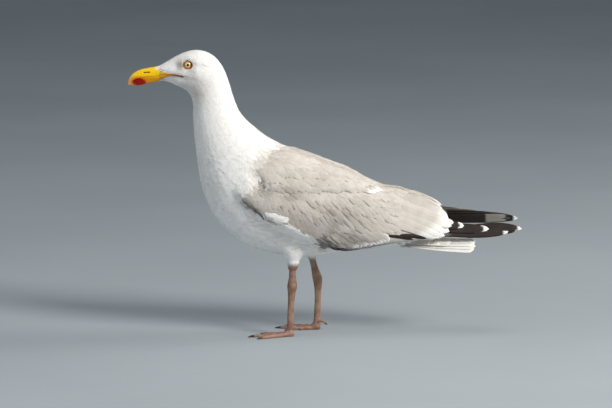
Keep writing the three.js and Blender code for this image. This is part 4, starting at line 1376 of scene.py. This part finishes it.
def blade_width(along, root=0.35, fullest=0.45, tip=0.8):
    """Half width over a feather's length: narrow at the quill, full in the middle, round at the tip."""
    grow = root + (1 - root) * ramp(along, 0, fullest)
    tail = np.clip((along - tip) / (1 - tip), 0, 1)
    return grow * np.sqrt(np.maximum(1 - tail ** 2.2, 0.0004))


def blade_frame(axis, across, off_axis):
    """Directions along a blade's axis: across the blade, and off its outer face, which looks
    to the positive side of off_axis."""
    across = unit(across)
    ahead = unit(np.gradient(axis, axis=0))
    across = unit(across - ahead * np.sum(across * ahead, axis=1, keepdims=True))
    off = np.cross(across, ahead)
    return across, off * np.sign(off[:, off_axis:off_axis + 1])


class Feathers:
    """Large feathers gathered into one mesh, with what their material reads."""

    def __init__(self, name):
        self.name, self.meshes, self.stir = name, [], np.random.default_rng(len(name))

    def add(self, rings, share, along, length, half, colour_marks, dark=0.0):
        """colour_marks: white and grey over the blade, as functions of along and across. dark: painted shade
        added where the blade is grey.
        """
        mesh = tube_mesh(self.name, rings)
        rows = len(along)
        sideways = np.concatenate([share, share[::-1][1:-1]])
        down = np.repeat(along[:, None], len(sideways), axis=1)
        across = np.repeat(sideways[None], rows, axis=0)
        barb = (down * length + np.abs(across) * half[:, None] * 1.3) / MM
        white, grey = colour_marks(down, across)
        # Painted shade where the blade is grey.
        grey = grey + dark * (grey >= 1) * (1 - white)
        for key, values in (("white", white), ("grey", grey), ("barb", barb)):
            hubs = [values[0].mean(), values[-1].mean()]     # the two points that close the blade
            attribute(mesh, key, np.concatenate([values.ravel(), hubs]))
        attribute(mesh, "stir", np.full(len(mesh.vertices), self.stir.random()))
        around = len(sideways)
        turn = np.tile(np.arange(around) / around, rows)
        level = np.repeat(np.linspace(0.03, 0.97, rows), around)
        cell = np.stack([np.append(turn, (0.5, 0.5)), np.append(level, (0.0, 1.0)),
                         np.full(rows * around + 2, float(len(self.meshes)))], axis=1)
        attribute(mesh, "cell", cell, "FLOAT_VECTOR")
        self.meshes.append(mesh)

    def mapped(self, joined):
        """The OFBake map: every feather unrolled in a cell of its own."""
        cell = read_attribute(joined, "cell", 3)
        corner, sides = corners(joined)
        face_of = np.repeat(np.arange(len(sides)), sides)
        turn, level, which = cell[corner].T
        furthest = np.zeros(len(sides))
        np.maximum.at(furthest, face_of, turn)
        turn = turn + (furthest[face_of] > 0.75) * (turn == 0)
        across = int(np.ceil(np.sqrt(len(self.meshes))))
        which = np.round(which)
        spot = np.stack([which % across + 0.04 + 0.92 * turn,
                         which // across + 0.04 + 0.92 * level], axis=1) / across
        bake_map(joined, spot)
        joined.attributes.remove(joined.attributes["cell"])

    def finished(self):
        """All of them as one mesh."""
        work = bmesh.new()
        for mesh in self.meshes:
            work.from_mesh(mesh)
            bpy.data.meshes.remove(mesh)
        joined = bpy.data.meshes.new(self.name)
        work.to_mesh(joined)
        work.free()
        joined.shade_smooth()
        self.mapped(joined)
        return joined


def feather_finish(name, dark):
    """Large vanes: white, grey or dark, with the fine slant of barbs."""
    material, shade, shader = finish(name)
    cloud = shade.noise(60.0, 3.0)
    barb = shade.math("SINE", shade.times(shade.attribute("barb"), 7.5))
    fine = shade.noise(1400.0, 2.0, stretch=(0.4, 1.0, 0.4))
    white = shade.mix(shade.ramp(cloud, 0.3, 0.7), colour(244, 241, 235), colour(250, 248, 244))
    grey = shade.mix(shade.ramp(cloud, 0.3, 0.7), colour(200, 192, 182), colour(211, 204, 196))
    black = shade.mix(shade.ramp(cloud, 0.3, 0.7), colour(*dark), colour(*(v * 1.35 for v in dark)))
    greyness, stir = shade.attribute("grey"), shade.attribute("stir")
    base = shade.mix(shade.math("MINIMUM", greyness, 1.0), black, grey)
    base = shade.mix(shade.attribute("white"), base, white)
    # Painted shade where grey is above 1.
    tone = shade.times(shade.math("MULTIPLY_ADD", stir, 0.12, 0.92), shade.light_left(greyness, stir))
    tone = shade.times(tone, shade.ramp(barb, -1.0, 1.0, 0.95, 1.03))
    tone = shade.times(tone, shade.ramp(fine, 0.3, 0.7, 0.97, 1.02))
    base = shade.scaled(base, tone)
    ribs = shade.plus(barb, shade.times(fine, 1.5))
    normal = shade.bump(0.22, 0.0004, ribs)
    wire(shade, shader, colour=base, rough=shade.ramp(fine, 0.2, 0.8, 0.48, 0.68), normal=normal)
    shader.inputs["Specular IOR Level"].default_value = 0.3
    return material


LARGE_FINISH = feather_finish("large vanes", (34, 27, 24))


class WingFace:
    """The outer face of one wing as a height over side view, so that feathers can be laid on it."""

    STEP = 2.0 * MM
    X0, X1, Z0, Z1 = -140 * MM, 200 * MM, 100 * MM, 270 * MM

    def __init__(self, hand):
        xs, zs = np.arange(self.X0, self.X1, self.STEP), np.arange(self.Z0, self.Z1, self.STEP)
        grid = np.full((len(xs), len(zs)), np.nan)
        for i, x in enumerate(xs):
            for j, z in enumerate(zs):
                hit = FORM_TREE.ray_cast(Vector((x, hand * 0.3, z)), Vector((0, -hand, 0)))[0]
                if hit is not None and abs(hit[1]) > 12 * MM:
                    grid[i, j] = abs(hit[1])
        for _ in range(90):     # the outline's own height carried outwards, a little lower each step
            empty = np.isnan(grid)
            if not empty.any():
                break
            padded = np.pad(grid, 1, constant_values=np.nan)
            around = np.stack([padded[1 + i:padded.shape[0] - 1 + i, 1 + j:padded.shape[1] - 1 + j]
                               for i in (-1, 0, 1) for j in (-1, 0, 1)])
            known = ~np.isnan(around)
            total = np.where(known, around, 0).sum(axis=0) / np.maximum(known.sum(axis=0), 1)
            grid = np.where(empty & known.any(axis=0), total - 0.15 * MM, grid)
        self.grid = grid

    def height(self, x, z):
        u = np.clip((x - self.X0) / self.STEP, 0, self.grid.shape[0] - 1.001)
        v = np.clip((z - self.Z0) / self.STEP, 0, self.grid.shape[1] - 1.001)
        i, j = u.astype(int), v.astype(int)
        f, g = u - i, v - j
        return ((self.grid[i, j] * (1 - f) + self.grid[i + 1, j] * f) * (1 - g)
                + (self.grid[i, j + 1] * (1 - f) + self.grid[i + 1, j + 1] * f) * g)


def wing_feather(gather, face, hand, root, tip, wide, layer, marks, sag=0.05, rise=0.6, blunt=0.8):
    """One feather laid on the wing's face from root to tip, both (x, z) in millimetres."""
    along = np.linspace(0, 1, 16)
    start, end = mm(*root), mm(*tip)
    way = end - start
    length = np.linalg.norm(way)
    way = way / length
    cross = np.array([-way[1], way[0]])
    bow = np.sin(along * math.pi) * sag * length
    flat = start + way * (along * length)[:, None] + cross * bow[:, None]
    half = blade_width(along, tip=blunt) * wide * MM / 2
    share = np.linspace(-1, 1, 7)
    spots = flat[:, None] + cross * (share[None, :, None] * half[:, None, None])
    rest = face.height(spots[..., 0], spots[..., 1])
    lift = (layer + 1.2) * MM * ramp(along, 0.0, rise) - 1.2 * MM
    lift = lift[:, None] + 0.05 * half[:, None] * (1 - share ** 2)
    shaft = np.exp(-(share / 0.12) ** 2) * 0.15 * MM
    thick = 0.42 * MM * np.minimum(half / (3 * MM), 1)[:, None] * (0.3 + 0.7 * (1 - np.abs(share) ** 4))
    over = np.stack([spots[..., 0], hand * (rest + lift + thick + shaft), spots[..., 1]], axis=-1)
    under = np.stack([spots[..., 0], hand * (rest + lift), spots[..., 1]], axis=-1)
    rings = np.concatenate([over, under[:, ::-1][:, 1:-1]], axis=1)
    # Painted shade over the feather, from the wing's shadowed places.
    dark = shadowed(rings[..., 0].ravel(), rings[..., 2].ravel()).reshape(rings.shape[:2])
    gather.add(rings, share, along, length, half, marks, dark)


def tipped(white_from, soft=0.04, grey=1.0, edge=0.0):
    """Marks of a grey feather whose end is white, with a white margin of the given width."""
    def marks(down, across):
        shift = 0.05 * np.abs(across)
        white = ramp(down + shift, white_from - soft, white_from + soft)
        if edge:
            rim = ramp(np.abs(across), 1 - edge, 1.0 - edge * 0.5) * ramp(down, 0.6, 0.85)
            white = np.maximum(white, rim)
        return white, np.full_like(down, grey)
    return marks


# The folded wing's rear feathers: root and tip (x, z), width and layer, in millimetres, and
# the share of the length where the white end starts.
TERTIALS = [((92, 200), (166.0, 172.5), 15, 3.3, 0.93), ((86, 194), (173.5, 163.5), 17, 2.9, 0.88),
            ((82, 186), (177.0, 155.5), 18, 2.5, 0.80), ((78, 179), (174.0, 148.0), 18, 2.1, 0.76),
            ((72, 172), (167.5, 142.0), 17, 1.7, 0.74), ((66, 165), (156.0, 139.5), 15, 1.3, 0.76)]
# The line (x, z) that the secondaries' ends follow under the coverts, and how many there are.
SECONDARY_EDGE = [(18, 128.6), (32, 127.6), (44, 128.0), (56, 129.6), (68, 131.6), (80, 134.0),
                  (92, 137.2)]
SECONDARIES = 17
# Black feathers behind the secondaries' ends, partly dark primaries and partly painted shade: root, tip and
# width.
SHADOW_PRIMARIES = [((80, 145), (124, 138.0), 4.6), ((94, 145), (143, 139.2), 5.4)]
# Rows of long coverts and scapulars: the row's two ends (x, z), how many, slope at each end in
# degrees, length, width, layer, where their white starts (above 1: none) and how uneven the row is.
COVERT_ROWS = [((2, 134), (88, 140), 24, (36, 22), 32, 6, 1.25, 2.0, 1.6),
               ((6, 146), (140, 152), 26, (40, 20), 36, 7, 0.70, 2.0, 4),
               ((-10, 156), (140, 162), 30, (48, 22), 32, 7, 0.75, 2.0, 5),
               ((-40, 164), (130, 174), 34, (54, 25), 28, 6, 0.80, 2.0, 6),
               ((-66, 180), (116, 186), 34, (56, 27), 24, 6, 0.80, 2.0, 6)]
SCAPULAR_ROWS = [((-78, 209.5), (66, 206), 26, (30, 14), 30, 8, 0.75, 2.0, 2.0),
                 ((-76, 219), (54, 210), 20, (34, 17), 28, 9, 0.9, 2.0, 3.5),
                 ((-70, 230), (28, 221), 16, (34, 18), 26, 9, 0.8, 2.0, 3)]
# The white ends behind the last scapulars: root, tip and width.
CRESCENT = [((40, 209), (72.0, 203.4), 8), ((46, 210), (77.0, 204.6), 8), ((50, 211), (82.0, 205.6), 7)]
# White flank feathers over the front of the wing: the curves their ends follow (x, z), how far in
# from the edge each row lies with its layer, and how many feathers a row has.
FLANK_LOBES = [[(-82, 172), (-70, 176.5), (-56, 176), (-47, 171), (-52, 164)],
               [(-78, 166), (-66, 162), (-56, 156), (-46, 148), (-38, 140)],
               [(-52, 160), (-42, 158), (-30, 153), (-23, 146), (-24, 138), (-20, 132)]]
FLANK_ROWS = [(0.0, 0.6), (4.0, 0.8), (9.0, 0.9), (15.0, 0.7), (21.0, 0.4)]
FLANK_COUNT = 16


def wing_feathers(hand):
    """The long feathers of one folded wing, from the lowest layer to the highest."""
    face = WingFace(hand)
    gather = Feathers("wing_feathers_" + SIDES[hand])
    vary = np.random.default_rng(40 + hand)

    def row(ends, count, slopes, length, wide, layer, white_from, uneven):
        (x0, z0), (x1, z1) = ends
        for index in range(count):
            share = index / (count - 1)
            x = x0 + (x1 - x0) * share + vary.uniform(-1.5, 1.5)
            z = z0 + (z1 - z0) * share + vary.uniform(-uneven, uneven)
            slope = math.radians(slopes[0] + (slopes[1] - slopes[0]) * share + vary.uniform(-3, 3))
            far = length * vary.uniform(0.85, 1.15)
            root = (x - far * math.cos(slope), z + far * math.sin(slope))
            ends_low = ramp(share, -0.05, 0.22) * ramp(-share, -1.05, -0.82)
            wing_feather(gather, face, hand, root, (x, z), wide * vary.uniform(0.85, 1.15),
                         layer * (0.25 + 0.75 * ends_low), tipped(white_from))

    low_edge = np.array(SECONDARY_EDGE, dtype=float)
    for index in range(SECONDARIES):
        x = low_edge[0, 0] + (low_edge[-1, 0] - low_edge[0, 0]) * index / (SECONDARIES - 1)
        z = np.interp(x, low_edge[:, 0], low_edge[:, 1])
        slope = math.radians(np.interp(x, [18, 80, 150], [31, 21, 15]) + vary.uniform(-1.5, 1.5))
        far = 50 * vary.uniform(0.95, 1.05)
        root = (x - far * math.cos(slope), z + far * math.sin(slope))
        white, rim = (2.0, 0.0) if x < 42 else (vary.uniform(0.85, 0.90), 0.35)
        tip = (x + vary.uniform(-1, 1), z + vary.uniform(-0.3, 0.5))
        wing_feather(gather, face, hand, root, tip, 12, 0.5 + 0.015 * index,
                     tipped(white, soft=0.05, edge=rim), blunt=0.86)
    # Black partly standing for painted shade under the wing's edge.
    for root, tip, wide in SHADOW_PRIMARIES:
        wing_feather(gather, face, hand, root, tip, wide, 1.5, tipped(2.0, grey=0.0), rise=0.3)
    for start, end, *rest in COVERT_ROWS:
        row((start, end), *rest)
    for root, tip, wide, layer, white in TERTIALS[::-1]:
        wing_feather(gather, face, hand, root, tip, wide, layer,
                     tipped(white, soft=0.08, edge=0.10), sag=0.06)
    for start, end, *rest in SCAPULAR_ROWS:
        row((start, end), *rest)
    for root, tip, wide in CRESCENT:
        wing_feather(gather, face, hand, root, tip, wide, 1.3, tipped(0.66, soft=0.12), blunt=0.6)
    for lobe in FLANK_LOBES:
        line = eased(lobe, FLANK_COUNT)
        for inset, layer in FLANK_ROWS:
            for x, z in line:
                x = x - inset + vary.uniform(-2, 2)
                z = z - 0.3 * inset + vary.uniform(-1.5, 1.5)
                far = 30 * vary.uniform(0.8, 1.2)
                root = (x - far, z + vary.uniform(-6, 4))
                wing_feather(gather, face, hand, root, (x, z), 5.0 * vary.uniform(0.8, 1.2),
                             layer + vary.uniform(-0.3, 0.3), tipped(-1.0), rise=0.8, blunt=0.5)
    return gather


for hand, side in SIDES.items():
    add_piece("wing_rear_feathers_" + side, wing_feathers(hand).finished(), LARGE_FINISH,
              "grey_plumage", "wing_" + side)


# The wing tips: for each feather its tip (x, z), its width, and its layer outwards from the body.
NEAR_PRIMARIES = [(275.4, 150.4, 14, 0), (269.5, 149.0, 15, 1), (258.6, 147.2, 15, 2),
                  (229.4, 150.4, 15, 3), (194.5, 154.5, 15, 4), (180.0, 158.5, 15, 5)]
FAR_PRIMARIES = [(271.0, 160.8, 15, 0), (262.0, 162.6, 14, 1), (248.0, 164.4, 14, 2),
                 (224.0, 166.6, 14, 3), (200.0, 168.6, 14, 4), (182.0, 170.0, 14, 5)]
TIP_PLANES = {   # x, then height and distance from the midline of the lower and upper edge
    LEFT: [(96, 140, 32, 166, 13), (130, 136.5, 31.5, 167, 14), (162, 135, 30.5, 165.5, 14),
           (204, 137, 25.5, 161, 14.5), (246, 142, 20, 157, 14.8), (267, 145.6, 17.5, 153, 15.8),
           (277, 148, 16.5, 151, 16)],
    RIGHT: [(96, 150, 30, 178, 10), (130, 149, 29, 180.5, 10), (160, 151, 27, 179, 10),
            (191.6, 152.6, 22, 173.4, 10.5), (226.8, 154.8, 17, 169.2, 11), (255, 157.6, 14.5, 166, 12.4),
            (273, 159.8, 13.4, 161.6, 13)]}


def primary_marks(index, hand):
    """Black feathers with a white tip; from the body's side the outermost shows a pale mirror, painted mid
    grey as shade, and the far wing's upper feathers carry a painted sheen.
    """
    def marks(down, across):
        starts = (0.968, 0.985, 0.945, 0.94, 0.935, 0.92)[index]
        white = ramp(down + 0.015 * np.abs(across), starts, starts + 0.012)
        grey = (1 - ramp(down, 0.30 + 0.05 * index, 0.42 + 0.05 * index)) * 0.75
        # The far wing's white mirror, painted half grey as painted shade.
        if hand == RIGHT and index == 0:
            mirror = ramp(down, 0.735, 0.75) * ramp(-down, -0.915, -0.895)
            grey = np.maximum(grey, mirror * ramp(-np.abs(across), -0.93, -0.86) * 0.5)
        # A painted sheen along the far wing's upper feathers.
        if hand == RIGHT and index >= 3:
            grey = np.maximum(grey, 0.22)
        return white, grey
    return marks


def wing_tip(hand, feathers):
    gather = Feathers("primaries_" + SIDES[hand])
    plane = np.array(TIP_PLANES[hand], dtype=float) * MM
    rows = 40
    for index, (tip_x, tip_z, wide, layer) in enumerate(feathers):
        along = np.linspace(0, 1, rows) ** 0.85
        start_x = (98 - 2 * index) * MM
        x = start_x + (tip_x * MM - start_x) * along
        low_z, low_y, top_z, top_y = (np.interp(x, plane[:, 0], plane[:, k]) for k in (1, 2, 3, 4))
        base_share = 0.30 + 0.09 * index
        end_share = (tip_z * MM - low_z[-1]) / max(top_z[-1] - low_z[-1], 1 * MM)
        share_up = base_share + (end_share - base_share) * ramp(along, 0.15, 1.0)
        wide_y, wide_z = top_y - low_y, top_z - low_z
        axis = np.stack([x, low_y + wide_y * share_up, low_z + wide_z * share_up], axis=1)
        cross, out = blade_frame(axis, np.stack([np.zeros(rows), wide_y, wide_z], axis=1), 1)
        step = (layer - 2.2) * 0.62 * MM * fades(x, 200, 262) + (layer - 2.2) * 0.12 * MM
        axis = axis + out * step[:, None]
        half = blade_width(along, root=0.6, fullest=0.25, tip=0.72) * wide * MM / 2
        rings, share = plume(axis, cross, out, half, 0.55 * MM, camber=0.06, across=8)
        rings[..., 1] *= hand
        gather.add(rings, share, along, (tip_x * MM - start_x), half, primary_marks(index, hand))
    return gather


for end, hand, feathers in (("near", LEFT, NEAR_PRIMARIES), ("far", RIGHT, FAR_PRIMARIES)):
    add_piece("primaries_" + end, wing_tip(hand, feathers).finished(), LARGE_FINISH,
              "black_plumage", "primaries_" + SIDES[hand])


# Stations along the tail: x, half its breadth, height, and how far its edges droop.
TAIL_STATIONS = [(104, 22, 132.6, 6), (112, 23, 132.4, 6.4), (130, 26, 132.6, 7), (150, 32, 133.0, 8.6),
                 (175, 38, 134.2, 12), (198, 43, 135.2, 14.4), (212, 44, 135.6, 15)]
TAIL_PAIRS = 6
TAIL_ROOT = 106 * MM


def all_white(down, across):
    return np.ones_like(down), np.zeros_like(down)


def tail_fan():
    """Twelve white tail feathers, the middle pair on top."""
    gather = Feathers("tail_fan")
    line = np.array(TAIL_STATIONS, dtype=float) * MM
    rows = 26
    for pair in range(TAIL_PAIRS)[::-1]:
        for hand in SIDES:
            along = np.linspace(0, 1, rows)
            reach = (211.5 - 0.10 * pair ** 2 + (0.7 if pair % 2 else -0.7) * hand) * MM
            x = TAIL_ROOT + (reach - TAIL_ROOT) * along
            half_tail, height, droop = (np.interp(x, line[:, 0], line[:, k]) for k in (1, 2, 3))
            out = (pair + 0.5) / TAIL_PAIRS * 0.86
            y = hand * half_tail * out * (0.75 + 0.25 * along)
            z = height - droop * out ** 2 - 0.42 * MM * pair - (0.15 * MM if hand == RIGHT else 0)
            axis = np.stack([x, y, z], axis=1)
            lean = -2 * droop * out / half_tail * hand
            cross, up = blade_frame(axis, np.stack([np.zeros(rows), np.ones(rows), lean], axis=1), 2)
            half = blade_width(along, root=0.5, fullest=0.5, tip=0.90) * 9.5 * MM
            rings, share = plume(axis, cross, up, half, 0.55 * MM, camber=0.05, across=8)
            gather.add(rings, share, along, reach - TAIL_ROOT, half, all_white)
    return gather


# The coverts over the tail's root: how far back each row ends, how many feathers, its rise
# above the tail, and how much higher its roots lie.
TAIL_COVERT_ROWS = [(178, 9, 0.6, 3.0), (164, 9, 1.3, 4.0), (150, 9, 2.0, 5.0)]


def tail_coverts():
    """White feathers that ease the rump into the tail."""
    gather = Feathers("tail_coverts")
    line = np.array(TAIL_STATIONS, dtype=float) * MM
    rows = 16
    for reach, count, rise, deep in TAIL_COVERT_ROWS:
        for index in range(count):
            across = (index / (count - 1) - 0.5) * 1.3
            along = np.linspace(0, 1, rows)
            x = (reach - 62 + 62 * along - 5 * across ** 2) * MM
            half_tail, height, droop = (np.interp(x, line[:, 0], line[:, k]) for k in (1, 2, 3))
            y = half_tail * across * (0.78 + 0.22 * along)
            over = (rise + deep * (1 - ramp(along, 0, 0.8))) * (1 - 0.9 * across ** 2)
            z = height - droop * across ** 2 + over * MM
            axis = np.stack([x, y, z], axis=1)
            lean = -2 * droop * across / half_tail
            cross, up = blade_frame(axis, np.stack([np.zeros(rows), np.ones(rows), lean], axis=1), 2)
            half = blade_width(along, root=0.5, fullest=0.5, tip=0.78) * 6.5 * MM
            rings, share = plume(axis, cross, up, half, 0.5 * MM, camber=0.08, across=6)
            gather.add(rings, share, along, 62 * MM, half, all_white)
    return gather


add_piece("tail_coverts", tail_coverts().finished(), LARGE_FINISH, "tail_feathers", "trunk")
add_piece("tail_feathers", tail_fan().finished(), LARGE_FINISH, "tail_feathers", "tail")


# ------------------------------------------------------------------ floor, light and camera

def floor_finish():
    material, shade, shader = finish("pale floor")
    mottle = shade.noise(1.6, 4.0)
    wire(shade, shader, colour=shade.mix(shade.ramp(mottle, 0.3, 0.7), colour(170, 178, 184),
                                         colour(176, 184, 190)), rough=0.75)
    shader.inputs["Specular IOR Level"].default_value = 0.2
    return material


FLOOR_HALF = 30.0            # metres from the bird to the floor's edge


def floor():
    half = FLOOR_HALF
    mesh = mesh_from("floor", [(-half, -half, 0), (half, -half, 0), (half, half, 0), (-half, half, 0)],
                     [(0, 1, 2, 3)], smooth=False)
    mesh.materials.append(floor_finish())
    place("floor", mesh)


def lamp(name, where, size, power, tint, aim=(-0.02, 0, 0.2)):
    data = bpy.data.lights.new(name, "AREA")
    data.shape = "DISK"
    data.size = size
    data.energy = power
    data.color = tint
    lamp_object = bpy.data.objects.new(name, data)
    bpy.context.scene.collection.objects.link(lamp_object)
    lamp_object.location = where
    look = Vector(aim) - Vector(where)
    lamp_object.rotation_euler = look.to_track_quat("-Z", "Y").to_euler()


def studio():
    lamp("key", (2.4, -2.3, 2.3), 1.5, 140, (1.0, 0.965, 0.92))
    lamp("top", (-0.6, -0.6, 3.2), 2.0, 18, (1.0, 0.98, 0.95))
    lamp("fill", (-2.6, -1.6, 1.0), 1.5, 13, (0.90, 0.95, 1.0))
    lamp("rim", (3.0, 0.5, 1.4), 1.0, 34, (1.0, 0.97, 0.94))
    world = bpy.data.worlds.new("studio")
    bpy.context.scene.world = world
    world.use_nodes = True
    sky = world.node_tree.nodes["Background"]
    sky.inputs["Color"].default_value = (0.62, 0.72, 0.80, 1)
    sky.inputs["Strength"].default_value = 0.20
    bpy.context.scene.view_settings.view_transform = "Standard"


CAMERA_TILT = math.radians(8)
CAMERA_AWAY = 6.0
CAMERA_AIM = mm(-26.1, 0, 183.0)
FRAME_WIDTH = 612
SCALE = 1.40 * MM            # metres to one pixel across, at the bird


def camera():
    data = bpy.data.cameras.new("camera")
    data.sensor_width = 36
    data.lens = data.sensor_width * CAMERA_AWAY / (FRAME_WIDTH * SCALE)
    data.clip_end = 100
    view = bpy.data.objects.new("camera", data)
    bpy.context.scene.collection.objects.link(view)
    back = np.array([0, -math.cos(CAMERA_TILT), math.sin(CAMERA_TILT)])
    view.location = CAMERA_AIM + CAMERA_AWAY * back
    view.rotation_euler = (math.pi / 2 - CAMERA_TILT, 0, 0)
    bpy.context.scene.camera = view


floor()
studio()
camera()
